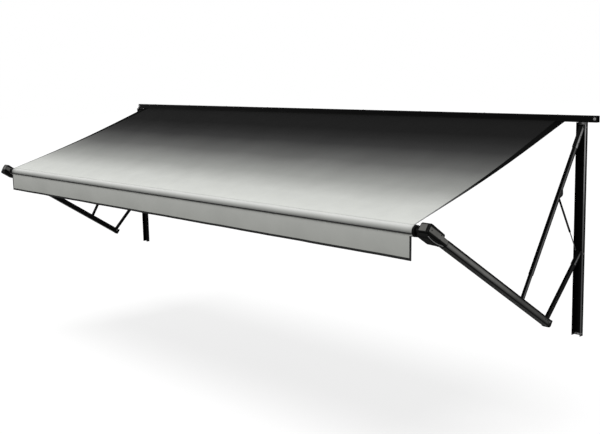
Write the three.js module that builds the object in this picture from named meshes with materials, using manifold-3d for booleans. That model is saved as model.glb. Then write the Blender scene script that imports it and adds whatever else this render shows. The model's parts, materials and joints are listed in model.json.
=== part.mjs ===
// Patio awning with folding, spring-assisted arms, in millimetres with +Z up.
// X runs along the wall, the wall face is the plane Y = 0 and the canopy reaches out to -Y.
// Z = 0 is the screw line of the wall rail. The arms are drawn at full reach with the canopy taut.

import * as THREE from 'three';
import { mergeVertices } from 'three/addons/utils/BufferGeometryUtils.js';
import Module from 'manifold-3d';

const wasm = await Module();
wasm.setup();

// Fits shared by every piece.
const SEAT_GAP = 0.3;
const BORE_GAP = 0.4;
const SLIDE_GAP = 0.4;

// How far cutting tools run past what they cut, and the sides of round bars.
const CUT_OVER = 1;
const BEAD_SIDES = 12;
const PIN_SIDES = 16;
const ROUND_SIDES = 20;
const RING_SIDES = 28;
const TUBE_SIDES = 36;
const NUT_SIDES = 6;
const CURVE_SIDES = 2;

// Overall layout.
const CANOPY_WIDTH = 6280;
const ARM_OVERHANG = 150;
const PIVOT_DEPTH = 24;
const UPPER_PIVOT_DROP = 74;
const PIVOT_SPACING = 1036;
const LOWER_ARM_LENGTH = 673;
const LOWER_ARM_ANGLE = 43.9;
const MAIN_ARM_LENGTH = 1656;
const MAIN_ARM_SLOPE = 32.8;
const SLIDER_DISTANCE = 392;

// Wall rail: a hollow extrusion with a bead groove along its lower front corner.
const RAIL_HEIGHT = 54;
const RAIL_ABOVE = 21.5;
const RAIL_DEPTH = 40;
const RAIL_WALL = 3;
const RAIL_RIGHT_OVERHANG = 144;
const RAIL_LEFT_OVERHANG = 10;
const RAIL_CORNER = 2;
const RAIL_FRONT_CORNER = 5;
const RAIL_HOLLOW_CORNER = 11;
const GROOVE_RADIUS = 4.4;
const GROOVE_WALL = 2.4;
const GROOVE_SLOT = 3.4;

// Wall channels and their plates.
const CHANNEL_WIDTH = 80;
const CHANNEL_DEPTH = 46;
const CHANNEL_WALL = 2.4;
const CHANNEL_BEAD = 3;
const CHANNEL_FOOT = 26;
const CHANNEL_DROP = 2.5;
const PLATE_THICKNESS = 4;
const PLATE_HEIGHT = 18;
const PLATE_HOLE = 5;

// Upper and lower arms: U extrusions open towards the wall.
const ARM_SECTION = 30;
const ARM_WALL = 2.2;
const ARM_LIP = 4;
const ARM_CORNER = 3;
const ARM_HEADROOM = 14;
const UPPER_ARM_CUT = 232;
const INNER_ARM_WALL = 2;
const INNER_ARM_OVERLAP = 150;
const HINGE_PLATE = 2;
const HINGE_BACK = 19;
const HINGE_ROUND = 14;
const HINGE_TOE = 3;
const UPPER_HINGE_LENGTH = 190;
const LOWER_HINGE_LENGTH = 120;
const BARREL_RADIUS = 9;
const PIVOT_RADIUS = 5;
const BOLT_HEAD_RADIUS = 9;
const BOLT_HEAD_HEIGHT = 5;

// Main arms: C extrusions with a rounded outer face, open towards the wall.
const MAIN_WIDTH = 78;
const MAIN_DEPTH = 56;
const MAIN_PIVOT_INSET = 22;
const MAIN_WALL = 3;
const MAIN_LIP = 8;
const MAIN_CORNER = 13;
const MAIN_TAIL = 26;
const FOOT_LENGTH = 100;
const CAP_THICKNESS = 9;
const CAP_RIM = 3;
const CAP_CORNER = 4;

// Slider that carries the telescopic arm in the main arm.
const SLIDER_LENGTH = 84;
const SLIDER_PIN_RADIUS = 4;
const SLIDER_SHOE_TOP = 5;
const SLIDER_SHOE_THICKNESS = 13;
const SLIDER_CHEEK_TOP = 15;
const SLIDER_BASE = 5;
const SLIDER_CHEEK = 4;
const SLIDER_FLOOR_CUT = 2;
const SLIDER_CORNER = 3;
const SLIDER_CHEEK_ROUND = 9;

// Gas struts, on the inboard side of each upper arm.
const STRUT_POSITION = 591;
const STRUT_OFFSET = 24;
const STRUT_RADIUS = 8.5;
const STRUT_ROD_RADIUS = 4.5;
const STRUT_ROD_REACH = 183;
const STRUT_ROD_OVERLAP = 36;
const STRUT_STUD_RADIUS = 4;
const STRUT_EYE_WIDTH = 10;
const STRUT_FOOT_RISE = 28;
const STRUT_FOOT_SHIFT = 8;
const STRUT_CLIP_HALF = 34;
const STRUT_LUG = 8;

// Roller, its ends and the cloth.
const ROLLER_RADIUS = 42;
const ROLLER_WALL = 2.2;
const ROLLER_END = 10;
const ROLLER_POCKET_RADIUS = 4.4;
const ROLLER_GROOVE_ANGLE = 28;
const WRAP_THICKNESS = 2.4;
const WRAP_SLIT = 16;
const CAP_FLANGE = 18;
const CAP_RADIUS = 43.5;
const PLUG_LENGTH = 40;
const SHAFT_RADIUS = 10;
const CANOPY_THICKNESS = 2.4;
const CLOTH_BEAD_RADIUS = 3.6;
const VALANCE_THICKNESS = 2;
const VALANCE_DROP = 187;

// Heads at the ends of the main arms.
const HEAD_WIDTH = 90;
const HEAD_BACK = 160;
const HEAD_FRONT = 84;
const HEAD_TOP = 48;
const HEAD_BOTTOM = 36;
const HEAD_STEP = 41;
const HEAD_SHOULDER = 62;
const HEAD_SHOULDER_RUN = 6;
const HEAD_WALL = 5;
const HEAD_BEVEL = 4;
const HEAD_NOSE_ROUND = 12;
const HEAD_BACK_ROUND = 22;
const HEAD_NECK_ROUND = 11;
const COVER_THICKNESS = 16;
const COVER_BEVEL = 9;
const SKIRT_DEPTH = 30;
const SKIRT_INSET = 8;
const SKIRT_FRONT_ROUND = 14;
const SKIRT_BACK_ROUND = 60;
const SKIRT_BEVEL = 3;
const BOSS_RADIUS = 30;
const BOSS_GAP = 6;
const BEARING_RADIUS = 21;
const BEARING_WIDTH = 12;
const MOTOR_RADIUS = 27;
const MOTOR_RIM = 3;
const MOTOR_FLANGE = 6;

// Values worked out from the layout.
const ARM_SPACING = CANOPY_WIDTH + 2 * ARM_OVERHANG;
const RAIL_RIGHT_END = ARM_SPACING / 2 + RAIL_RIGHT_OVERHANG;
const RAIL_LEFT_END = ARM_SPACING / 2 + RAIL_LEFT_OVERHANG;
const RAIL_BELOW = RAIL_HEIGHT - RAIL_ABOVE;
const PIVOT_Y = -PIVOT_DEPTH;
const UPPER_PIVOT_Z = -UPPER_PIVOT_DROP;
const LOWER_PIVOT_Z = UPPER_PIVOT_Z - PIVOT_SPACING;
const CHANNEL_TOP = -RAIL_BELOW - CHANNEL_DROP;
const CHANNEL_BOTTOM = LOWER_PIVOT_Z - LOWER_ARM_LENGTH - CHANNEL_FOOT;
const CHANNEL_INSIDE = CHANNEL_WIDTH / 2 - CHANNEL_WALL;
const ARM_HALF = ARM_SECTION / 2;
const HINGE_HALF = ARM_HALF + SEAT_GAP + HINGE_PLATE;
const MAIN_INSIDE = MAIN_WIDTH / 2 - MAIN_WALL;
const MAIN_FLOOR = MAIN_PIVOT_INSET - MAIN_DEPTH + MAIN_WALL;
const INNER_HALF = ARM_HALF - ARM_WALL - SLIDE_GAP;
const HEAD_START = MAIN_ARM_LENGTH - HEAD_BACK;
const HEAD_END = MAIN_ARM_LENGTH + HEAD_FRONT;
const STRUT_LAYER = (HINGE_HALF + CHANNEL_INSIDE - CHANNEL_BEAD + CHANNEL_WALL) / 2;

const radians = THREE.MathUtils.degToRad;
const lowAngle = radians(LOWER_ARM_ANGLE);
const mainTilt = radians(90 - MAIN_ARM_SLOPE);
const mainAxis = new THREE.Vector2(-Math.sin(mainTilt), Math.cos(mainTilt));
const upperPivot = new THREE.Vector2(PIVOT_Y, UPPER_PIVOT_Z);
const lowerPivot = new THREE.Vector2(PIVOT_Y, LOWER_PIVOT_Z);
const elbow = new THREE.Vector2(
  PIVOT_Y - LOWER_ARM_LENGTH * Math.sin(lowAngle),
  LOWER_PIVOT_Z - LOWER_ARM_LENGTH * Math.cos(lowAngle),
);
const sliderPoint = elbow.clone().addScaledVector(mainAxis, SLIDER_DISTANCE);
const rollerAxis = elbow.clone().addScaledVector(mainAxis, MAIN_ARM_LENGTH);
const upperReach = sliderPoint.clone().sub(upperPivot);
const UPPER_ARM_LENGTH = upperReach.length();
const upperAngle = Math.atan2(-upperReach.x, -upperReach.y);

// Finishes.
const finish = (color, roughness, metalness) => new THREE.MeshStandardMaterial({ color, roughness, metalness });
const blackPaint = finish(0x1b1c1e, 0.42, 0.35);
const greyPaint = finish(0x55585a, 0.4, 0.4);
const brightMetal = finish(0xa9acad, 0.35, 0.8);
const steel = finish(0x8c8f91, 0.3, 0.9);
const blackPlastic = finish(0x141415, 0.55, 0.0);
const canopyCloth = finish(0xb9bdb8, 0.85, 0.0);
const valanceCloth = finish(0xaeb4b0, 0.85, 0.0);

// Solid modelling helpers.
function toSolid(geometry) {
  const bare = geometry.clone();
  bare.deleteAttribute('normal');
  bare.deleteAttribute('uv');
  const merged = mergeVertices(bare, 1e-4);
  const vertProperties = new Float32Array(merged.attributes.position.array);
  const triVerts = new Uint32Array(merged.index.array);
  return new wasm.Manifold(new wasm.Mesh({ numProp: 3, vertProperties, triVerts }));
}

function toGeometry(solid) {
  const mesh = solid.getMesh();
  const geometry = new THREE.BufferGeometry();
  geometry.setAttribute('position', new THREE.BufferAttribute(new Float32Array(mesh.vertProperties), 3));
  geometry.setIndex(new THREE.BufferAttribute(new Uint32Array(mesh.triVerts), 1));
  return geometry;
}

function cut(geometry, ...tools) {
  return toGeometry(tools.reduce((solid, tool) => solid.subtract(toSolid(tool)), toSolid(geometry)));
}

function join(geometry, ...others) {
  return toGeometry(others.reduce((solid, other) => solid.add(toSolid(other)), toSolid(geometry)));
}

// A span lengthened at both ends for a cutting tool.
function beyond([start, end]) {
  return [start - CUT_OVER, end + CUT_OVER];
}

// A block between two corners.
function block([x0, x1], [y0, y1], [z0, z1]) {
  const geometry = new THREE.BoxGeometry(x1 - x0, y1 - y0, z1 - z0);
  return geometry.translate((x0 + x1) / 2, (y0 + y1) / 2, (z0 + z1) / 2);
}

// A round bar along X.
function crossBar(radius, [x0, x1], y = 0, z = 0, sides = ROUND_SIDES) {
  const geometry = new THREE.CylinderGeometry(radius, radius, x1 - x0, sides);
  return geometry.rotateZ(-Math.PI / 2).translate((x0 + x1) / 2, y, z);
}

// A round bar along Z.
function upright(radius, [z0, z1], x = 0, y = 0, sides = ROUND_SIDES) {
  const geometry = new THREE.CylinderGeometry(radius, radius, z1 - z0, sides);
  return geometry.rotateX(Math.PI / 2).translate(x, y, (z0 + z1) / 2);
}

// A closed outline through corner points, each rounded by an arc of its own radius.
function outline(corners) {
  const shape = new THREE.Shape();
  corners.forEach(([x, y, radius = 0], i) => {
    const corner = new THREE.Vector2(x, y);
    const before = corners[(i + corners.length - 1) % corners.length];
    const after = corners[(i + 1) % corners.length];
    const back = new THREE.Vector2(before[0], before[1]).sub(corner);
    const on = new THREE.Vector2(after[0], after[1]).sub(corner);
    const half = Math.abs(back.angleTo(on)) / 2;
    const reach = radius > 0 ? Math.min(radius / Math.tan(half), back.length() / 2, on.length() / 2) : 0;
    back.normalize();
    on.normalize();
    const start = corner.clone().addScaledVector(back, reach);
    if (i === 0) shape.moveTo(start.x, start.y);
    else shape.lineTo(start.x, start.y);
    if (reach === 0) return;
    const end = corner.clone().addScaledVector(on, reach);
    const towards = back.clone().add(on).normalize();
    const centre = corner.clone().addScaledVector(towards, reach / Math.cos(half));
    const angles = [start, end].map((point) => point.clone().sub(centre).angle());
    shape.absarc(centre.x, centre.y, reach * Math.tan(half), ...angles, back.cross(on) > 0);
  });
  shape.closePath();
  return shape;
}

// An outline drawn in X and Y, run along Z.
function extrusion(shape, [z0, z1]) {
  const options = { depth: z1 - z0, bevelEnabled: false, curveSegments: CURVE_SIDES };
  return new THREE.ExtrudeGeometry(shape, options).translate(0, 0, z0);
}

// An outline drawn in Y and Z, run along X.
const acrossAxes = new THREE.Matrix4().makeBasis(
  new THREE.Vector3(0, 1, 0),
  new THREE.Vector3(0, 0, 1),
  new THREE.Vector3(1, 0, 0),
);

function across(shape, [x0, x1], bevel = 0) {
  const options = {
    depth: x1 - x0 - 2 * bevel,
    bevelEnabled: bevel > 0,
    bevelThickness: bevel,
    bevelSize: bevel,
    bevelOffset: -bevel,
    bevelSegments: 2,
    curveSegments: CURVE_SIDES,
  };
  const geometry = new THREE.ExtrudeGeometry(shape, options).translate(0, 0, x0 + bevel);
  return geometry.applyMatrix4(acrossAxes);
}

// A C section: its web at one Y, its open edge at the other, with lips turned in there.
function channelSection(width, web, edge, wall, lip, corner) {
  const half = width / 2;
  const inward = Math.sign(edge - web);
  const inner = Math.max(corner - wall, 0);
  return outline([
    [half - lip, edge],
    [half, edge],
    [half, web, corner],
    [-half, web, corner],
    [-half, edge],
    [-half + lip, edge],
    [-half + lip, edge - inward * wall],
    [-half + wall, edge - inward * wall],
    [-half + wall, web + inward * wall, inner],
    [half - wall, web + inward * wall, inner],
    [half - wall, edge - inward * wall],
    [half - lip, edge - inward * wall],
  ]);
}

const awning = new THREE.Group();

function piece(name, geometry, material, parent = awning) {
  const mesh = new THREE.Mesh(geometry, material);
  mesh.name = name;
  parent.add(mesh);
  return mesh;
}

// A group whose origin lies in the Y-Z plane at a point, turned about X.
function frameAt(x, point, angle, parent = awning) {
  const frame = new THREE.Group();
  frame.position.set(x, point.x, point.y);
  frame.rotation.x = angle;
  parent.add(frame);
  return frame;
}

// Where the canopy leaves the wall groove and where it meets the roller.
const groovePoint = new THREE.Vector2(
  -RAIL_DEPTH - GROOVE_RADIUS,
  -RAIL_BELOW + GROOVE_RADIUS + GROOVE_WALL,
);
const wrapRadius = ROLLER_RADIUS + SEAT_GAP + WRAP_THICKNESS;
const clothRadius = wrapRadius + SEAT_GAP + CANOPY_THICKNESS / 2;
const toRoller = rollerAxis.clone().sub(groovePoint);
const canopyLength = Math.sqrt(toRoller.lengthSq() - clothRadius ** 2);
const canopyTurn = toRoller.angle() - Math.asin(clothRadius / toRoller.length());
const canopyTilt = canopyTurn - Math.PI;

// Wall rail.
function awningRail() {
  const body = outline([
    [0, -RAIL_BELOW, RAIL_CORNER],
    [0, RAIL_ABOVE, RAIL_CORNER],
    [-RAIL_DEPTH, RAIL_ABOVE, RAIL_FRONT_CORNER],
    [-RAIL_DEPTH, -RAIL_BELOW, RAIL_CORNER / 2],
  ]);
  const hollow = outline([
    [-RAIL_WALL, -RAIL_BELOW + RAIL_WALL, RAIL_HOLLOW_CORNER],
    [-RAIL_WALL, RAIL_ABOVE - RAIL_WALL, RAIL_HOLLOW_CORNER],
    [-RAIL_DEPTH + RAIL_WALL, RAIL_ABOVE - RAIL_WALL, RAIL_HOLLOW_CORNER],
    [-RAIL_DEPTH + RAIL_WALL, -RAIL_BELOW + RAIL_WALL, RAIL_HOLLOW_CORNER],
  ]);
  body.holes.push(hollow);
  const span = [-RAIL_LEFT_END, RAIL_RIGHT_END];
  const long = beyond(span);
  const bead = crossBar(GROOVE_RADIUS + GROOVE_WALL, span, groovePoint.x, groovePoint.y);
  const bore = crossBar(GROOVE_RADIUS, long, groovePoint.x, groovePoint.y);
  const slot = block(long, [-GROOVE_RADIUS * 3, 0], [-GROOVE_SLOT / 2, GROOVE_SLOT / 2]);
  slot.rotateX(canopyTilt).translate(0, groovePoint.x, groovePoint.y);
  return cut(join(across(body, span), bead), bore, slot);
}

// Canopy: a bead in the wall groove and a flat cloth up to the roller.
function canopy() {
  const half = CANOPY_WIDTH / 2;
  const sheet = block([-half, half], [-canopyLength, 0], [-CANOPY_THICKNESS / 2, CANOPY_THICKNESS / 2]);
  sheet.rotateX(canopyTilt).translate(0, groovePoint.x, groovePoint.y);
  const bead = crossBar(CLOTH_BEAD_RADIUS, [-half, half], groovePoint.x, groovePoint.y, BEAD_SIDES);
  return join(sheet, bead);
}

// Wall channel: a U extrusion on the wall with thickened front edges.
function wallChannel() {
  const half = CHANNEL_WIDTH / 2;
  const body = channelSection(CHANNEL_WIDTH, 0, -CHANNEL_DEPTH, CHANNEL_WALL, CHANNEL_BEAD, 2);
  const span = beyond([-half, half]);
  const bore = PIVOT_RADIUS + BORE_GAP;
  return cut(
    extrusion(body, [CHANNEL_BOTTOM, CHANNEL_TOP]),
    crossBar(bore, span, PIVOT_Y, UPPER_PIVOT_Z),
    crossBar(bore, span, PIVOT_Y, LOWER_PIVOT_Z),
  );
}

// Screw plate that clamps the back of a wall channel, from z down.
function screwPlate(z) {
  const half = CHANNEL_INSIDE - SEAT_GAP;
  const back = -CHANNEL_WALL - SEAT_GAP;
  const plate = block([-half, half], [back - PLATE_THICKNESS, back], [z - PLATE_HEIGHT, z]);
  const hole = (x) => {
    const drill = new THREE.CylinderGeometry(PLATE_HOLE, PLATE_HOLE, PLATE_THICKNESS * 4, ROUND_SIDES);
    return drill.translate(x, back, z - PLATE_HEIGHT / 2);
  };
  return cut(plate, hole(-half / 2), hole(half / 2));
}

// Pivot bolt with its nut, through walls that are a given distance apart outside.
function pivotBolt(width) {
  const grip = width / 2 + SEAT_GAP;
  const end = grip + BOLT_HEAD_HEIGHT;
  return join(
    crossBar(PIVOT_RADIUS, [-end, end]),
    crossBar(BOLT_HEAD_RADIUS, [grip, end], 0, 0, RING_SIDES),
    crossBar(BOLT_HEAD_RADIUS, [-end, -grip], 0, 0, NUT_SIDES),
  );
}

// Hinge bracket: two tapered cheeks and a front web round the arm, on a barrel that fills the channel.
function armHinge(length) {
  const front = -ARM_HALF - SEAT_GAP - HINGE_PLATE;
  const sides = outline([
    [front, ARM_HEADROOM + HINGE_PLATE, HINGE_ROUND / 2],
    [HINGE_BACK, ARM_HEADROOM + HINGE_PLATE, HINGE_ROUND],
    [HINGE_BACK, -HINGE_BACK, HINGE_ROUND],
    [ARM_HALF, -length, HINGE_TOE],
    [front, -length, HINGE_TOE],
  ]);
  const inside = ARM_HALF + SEAT_GAP;
  const barrelHalf = CHANNEL_INSIDE - SEAT_GAP;
  const bracket = cut(
    across(sides, [-HINGE_HALF, HINGE_HALF]),
    block([-inside, inside], [-inside, HINGE_BACK * 2], [-length - CUT_OVER, ARM_HEADROOM * 2]),
  );
  const barrel = crossBar(BARREL_RADIUS, [-barrelHalf, barrelHalf]);
  const bore = crossBar(PIVOT_RADIUS + BORE_GAP, [-CHANNEL_WIDTH, CHANNEL_WIDTH]);
  return cut(join(bracket, barrel), bore);
}

// U extrusion of an arm, from above its top pivot to a given distance below it.
function armExtrusion(length, lip) {
  const section = channelSection(ARM_SECTION, -ARM_HALF, ARM_HALF, ARM_WALL, lip, ARM_CORNER);
  const body = extrusion(section, [-length, ARM_HEADROOM]);
  const barrelHole = crossBar(BARREL_RADIUS + BORE_GAP, [-ARM_SECTION, ARM_SECTION]);
  return cut(body, barrelHole);
}

// Lower arm with its free end rounded about the elbow pivot.
function lowerArm() {
  const end = -LOWER_ARM_LENGTH;
  const rounding = outline([
    [-ARM_SECTION, ARM_HEADROOM * 2],
    [ARM_SECTION, ARM_HEADROOM * 2],
    [ARM_HALF, end - ARM_HALF, ARM_HALF],
    [-ARM_HALF, end - ARM_HALF, ARM_HALF],
  ]);
  const arm = toSolid(armExtrusion(LOWER_ARM_LENGTH + ARM_HALF, ARM_LIP));
  const rounded = toGeometry(arm.intersect(toSolid(across(rounding, [-ARM_SECTION, ARM_SECTION]))));
  return cut(rounded, crossBar(PIVOT_RADIUS + BORE_GAP, [-ARM_SECTION, ARM_SECTION], 0, end));
}

// Telescopic inner arm: a square tube with rounded cheeks at the slider pin.
function innerArm() {
  const end = -UPPER_ARM_LENGTH;
  const top = end + UPPER_ARM_CUT + INNER_ARM_OVERLAP;
  const sides = outline([
    [-INNER_HALF, top],
    [INNER_HALF, top],
    [INNER_HALF, end - INNER_HALF, INNER_HALF],
    [-INNER_HALF, end - INNER_HALF, INNER_HALF],
  ]);
  const hollow = INNER_HALF - INNER_ARM_WALL;
  return cut(
    across(sides, [-INNER_HALF, INNER_HALF]),
    block([-hollow, hollow], [-hollow, hollow], [end - ARM_SECTION, top + CUT_OVER]),
    crossBar(SLIDER_PIN_RADIUS + BORE_GAP, [-ARM_SECTION, ARM_SECTION], 0, end),
  );
}

// Slider: a shoe that runs under the lips of the main arm, with two cheeks for the inner arm.
function armSlider() {
  const half = SLIDER_LENGTH / 2;
  const floor = -INNER_HALF - SLIDE_GAP - SLIDER_BASE;
  const shoeHalf = MAIN_INSIDE - SLIDE_GAP;
  const cheekHalf = INNER_HALF + SLIDE_GAP + SLIDER_CHEEK;
  const shoeFloor = SLIDER_SHOE_TOP - SLIDER_SHOE_THICKNESS;
  const shoe = outline([
    [shoeFloor, -half, SLIDER_CORNER],
    [shoeFloor, half, SLIDER_CORNER],
    [SLIDER_SHOE_TOP, half, SLIDER_CORNER],
    [SLIDER_SHOE_TOP, -half, SLIDER_CORNER],
  ]);
  const cheeks = outline([
    [floor, -half, SLIDER_CORNER],
    [floor, half, SLIDER_CORNER],
    [0, half, SLIDER_CHEEK_ROUND],
    [SLIDER_CHEEK_TOP, half / 2, SLIDER_CHEEK_ROUND],
    [SLIDER_CHEEK_TOP, -half / 2, SLIDER_CHEEK_ROUND],
    [0, -half, SLIDER_CHEEK_ROUND],
  ]);
  const slotHalf = INNER_HALF + SLIDE_GAP;
  return cut(
    join(across(shoe, [-shoeHalf, shoeHalf]), across(cheeks, [-cheekHalf, cheekHalf])),
    block([-slotHalf, slotHalf], [-slotHalf, MAIN_WIDTH], [-slotHalf - SLIDER_FLOOR_CUT, SLIDER_LENGTH]),
    crossBar(SLIDER_PIN_RADIUS + BORE_GAP, [-MAIN_WIDTH, MAIN_WIDTH]),
  );
}

// Main arm extrusion, from its tail to the head.
function mainArm() {
  const section = channelSection(
    MAIN_WIDTH, MAIN_PIVOT_INSET - MAIN_DEPTH, MAIN_PIVOT_INSET, MAIN_WALL, MAIN_LIP, MAIN_CORNER,
  );
  const body = extrusion(section, [-MAIN_TAIL, HEAD_START]);
  return cut(body, crossBar(PIVOT_RADIUS + BORE_GAP, [-MAIN_WIDTH, MAIN_WIDTH]));
}

// Foot casting inside the main arm: it fills the channel and leaves a slot for the lower arm.
function mainArmFoot() {
  const half = MAIN_INSIDE - SEAT_GAP;
  const floor = MAIN_FLOOR + SEAT_GAP;
  const roof = MAIN_PIVOT_INSET - MAIN_WALL - SEAT_GAP;
  const cornerInside = MAIN_CORNER - MAIN_WALL;
  const section = outline([
    [half, roof],
    [half, floor, cornerInside],
    [-half, floor, cornerInside],
    [-half, roof],
  ]);
  const slotHalf = ARM_HALF + SLIDE_GAP;
  const lean = lowAngle + mainTilt - Math.PI / 2;
  const slotBack = roof * Math.tan(lean) + (slotHalf + SLIDE_GAP) / Math.cos(lean);
  return cut(
    extrusion(section, [-MAIN_TAIL, FOOT_LENGTH - MAIN_TAIL]),
    block([-slotHalf, slotHalf], [-slotHalf - CUT_OVER, MAIN_WIDTH], [-slotBack, FOOT_LENGTH]),
    crossBar(PIVOT_RADIUS + BORE_GAP, [-MAIN_WIDTH, MAIN_WIDTH]),
  );
}

// End cap over the tail of the main arm.
function mainArmCap() {
  const half = MAIN_WIDTH / 2 + CAP_RIM;
  const outer = MAIN_PIVOT_INSET - MAIN_DEPTH - CAP_RIM;
  const inner = MAIN_PIVOT_INSET + CAP_RIM;
  const section = outline([
    [half, inner, CAP_CORNER],
    [half, outer, MAIN_CORNER + CAP_RIM],
    [-half, outer, MAIN_CORNER + CAP_RIM],
    [-half, inner, CAP_CORNER],
  ]);
  const top = -MAIN_TAIL - SEAT_GAP;
  return extrusion(section, [top - CAP_THICKNESS, top]);
}

// Strut bracket: a clip across the open side of the upper arm, with the strut's stud inboard.
function strutBracket(inboard) {
  const inside = ARM_HALF + SEAT_GAP;
  const back = inside + HINGE_PLATE;
  const tab = outline([
    [-ARM_HALF / 2, -STRUT_CLIP_HALF, STRUT_LUG],
    [-ARM_HALF / 2, STRUT_CLIP_HALF, STRUT_LUG],
    [inside, STRUT_CLIP_HALF, HINGE_TOE],
    [STRUT_OFFSET + STRUT_LUG + CUT_OVER, STRUT_LUG, STRUT_LUG],
    [STRUT_OFFSET + STRUT_LUG + CUT_OVER, -STRUT_LUG, STRUT_LUG],
    [inside, -STRUT_CLIP_HALF, HINGE_TOE],
  ]);
  const clipCut = beyond([-STRUT_CLIP_HALF, STRUT_CLIP_HALF]);
  const clip = cut(
    across(tab, [-HINGE_HALF, HINGE_HALF]),
    block([-inside, inside], [-ARM_SECTION, inside], clipCut),
    block([-inside, inside], [back, STRUT_OFFSET * 3], clipCut),
  );
  const studEnd = STRUT_LAYER + STRUT_EYE_WIDTH / 2;
  const studStart = HINGE_HALF - HINGE_PLATE;
  const span = inboard > 0 ? [studStart, studEnd] : [-studEnd, -studStart];
  return join(clip, crossBar(STRUT_STUD_RADIUS, span, STRUT_OFFSET, 0, PIN_SIDES));
}

// Strut cylinder hung from its eye, bored from below for the rod.
function strutCylinder(inboard, length) {
  const x = inboard * STRUT_LAYER;
  const eyeHalf = STRUT_EYE_WIDTH / 2;
  const eye = outline([
    [-STRUT_RADIUS, -2 * STRUT_RADIUS],
    [-STRUT_RADIUS, STRUT_RADIUS, STRUT_RADIUS],
    [STRUT_RADIUS, STRUT_RADIUS, STRUT_RADIUS],
    [STRUT_RADIUS, -2 * STRUT_RADIUS],
  ]);
  const body = upright(STRUT_RADIUS, [-length, -1.5 * STRUT_RADIUS], x);
  const bore = upright(STRUT_ROD_RADIUS + SLIDE_GAP, [-length - CUT_OVER, -3 * STRUT_RADIUS], x, 0, PIN_SIDES);
  const hole = crossBar(STRUT_STUD_RADIUS + BORE_GAP, [-CHANNEL_WIDTH, CHANNEL_WIDTH], 0, 0, PIN_SIDES);
  return cut(join(body, across(eye, [x - eyeHalf, x + eyeHalf])), bore, hole);
}

// Strut rod with its end fitting and the stud that stands on the wall channel.
function strutRod(inboard, length) {
  const x = inboard * STRUT_LAYER;
  const face = inboard * (CHANNEL_WIDTH / 2 - CHANNEL_BEAD - SEAT_GAP);
  const span = inboard > 0 ? [x, face] : [face, x];
  return join(
    upright(STRUT_ROD_RADIUS, [-length, STRUT_ROD_REACH + STRUT_ROD_OVERLAP - length], x, 0, PIN_SIDES),
    crossBar(STRUT_RADIUS - 1, [x - STRUT_EYE_WIDTH / 2, x + STRUT_EYE_WIDTH / 2], 0, -length),
    crossBar(STRUT_STUD_RADIUS, span, 0, -length, PIN_SIDES),
  );
}

// Head housing: a bevelled casting with a pocket from the outboard side and a bearing boss inboard.
const headSides = (inset) => outline([
  [-HEAD_BOTTOM + inset, HEAD_START + SEAT_GAP + inset],
  [-HEAD_BOTTOM + inset, HEAD_END - inset, HEAD_NOSE_ROUND],
  [HEAD_TOP - inset, HEAD_END - inset, HEAD_BACK_ROUND],
  [HEAD_STEP - inset, HEAD_START + HEAD_SHOULDER + inset, HEAD_NECK_ROUND],
  [MAIN_PIVOT_INSET - inset, HEAD_START + HEAD_SHOULDER - HEAD_SHOULDER_RUN + inset],
  [MAIN_PIVOT_INSET - inset, HEAD_START + SEAT_GAP + inset],
]);
const boreGap = BEARING_RADIUS + SEAT_GAP;
const bossEnd = ARM_OVERHANG - ROLLER_END - SEAT_GAP - CAP_FLANGE - BOSS_GAP;

function headHousing(outboard) {
  const half = HEAD_WIDTH / 2;
  const open = half - COVER_THICKNESS - SEAT_GAP;
  const outward = (a, b) => (outboard > 0 ? [a, b] : [-b, -a]);
  const shell = across(headSides(0), outward(-half, open), HEAD_BEVEL);
  const pocket = across(headSides(HEAD_WALL), outward(-half + HEAD_WALL * 2, half));
  const boss = crossBar(BOSS_RADIUS, outward(-bossEnd, -half + HEAD_WALL), 0, MAIN_ARM_LENGTH, RING_SIDES);
  const bore = crossBar(boreGap, outward(-bossEnd - CUT_OVER, half), 0, MAIN_ARM_LENGTH, RING_SIDES);
  return cut(join(shell, boss), pocket, bore);
}

// Head cover: a lid with a wide bevel round its outer face.
function headCover(outboard) {
  const face = HEAD_WIDTH / 2;
  const seat = face - COVER_THICKNESS;
  const outward = (a, b) => (outboard > 0 ? [a, b] : [-b, -a]);
  const lid = across(headSides(0), outward(seat - COVER_THICKNESS, face), COVER_BEVEL);
  const inner = block(outward(-face, seat), [-HEAD_WIDTH, HEAD_WIDTH], [0, HEAD_END * 2]);
  return cut(lid, inner);
}

// Skirt under the head, curved down to the front.
function headSkirt() {
  const half = HEAD_WIDTH / 2;
  const top = -HEAD_BOTTOM - SEAT_GAP;
  const shape = outline([
    [top, HEAD_START + SKIRT_INSET],
    [top, HEAD_END - SKIRT_INSET / 2],
    [top - SKIRT_DEPTH, HEAD_END - SKIRT_INSET, SKIRT_FRONT_ROUND],
    [top - SKIRT_DEPTH, MAIN_ARM_LENGTH - HEAD_BACK / 3, SKIRT_BACK_ROUND],
  ]);
  return across(shape, [-half, half], SKIRT_BEVEL);
}

// Bearing ring in the boss.
function rollerBearing(outboard) {
  const end = -outboard * bossEnd;
  const span = outboard > 0 ? [end, end + BEARING_WIDTH] : [end - BEARING_WIDTH, end];
  const ring = crossBar(BEARING_RADIUS, span, 0, MAIN_ARM_LENGTH, RING_SIDES);
  return cut(ring, crossBar(SHAFT_RADIUS + BORE_GAP, [-CHANNEL_WIDTH * 2, CHANNEL_WIDTH * 2], 0, MAIN_ARM_LENGTH));
}

// Gear motor in the pocket of the drive head, face to face with the roller shaft.
const shaftReach = HEAD_WIDTH / 2 - HEAD_WALL * 2;
function driveMotor() {
  const start = -shaftReach + SEAT_GAP;
  const end = HEAD_WIDTH / 2 - COVER_THICKNESS - 2 * SEAT_GAP;
  const flange = crossBar(MOTOR_RADIUS + MOTOR_RIM, [start, start + MOTOR_FLANGE], 0, MAIN_ARM_LENGTH, RING_SIDES);
  return join(crossBar(MOTOR_RADIUS, [start, end], 0, MAIN_ARM_LENGTH, RING_SIDES), flange);
}

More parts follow.
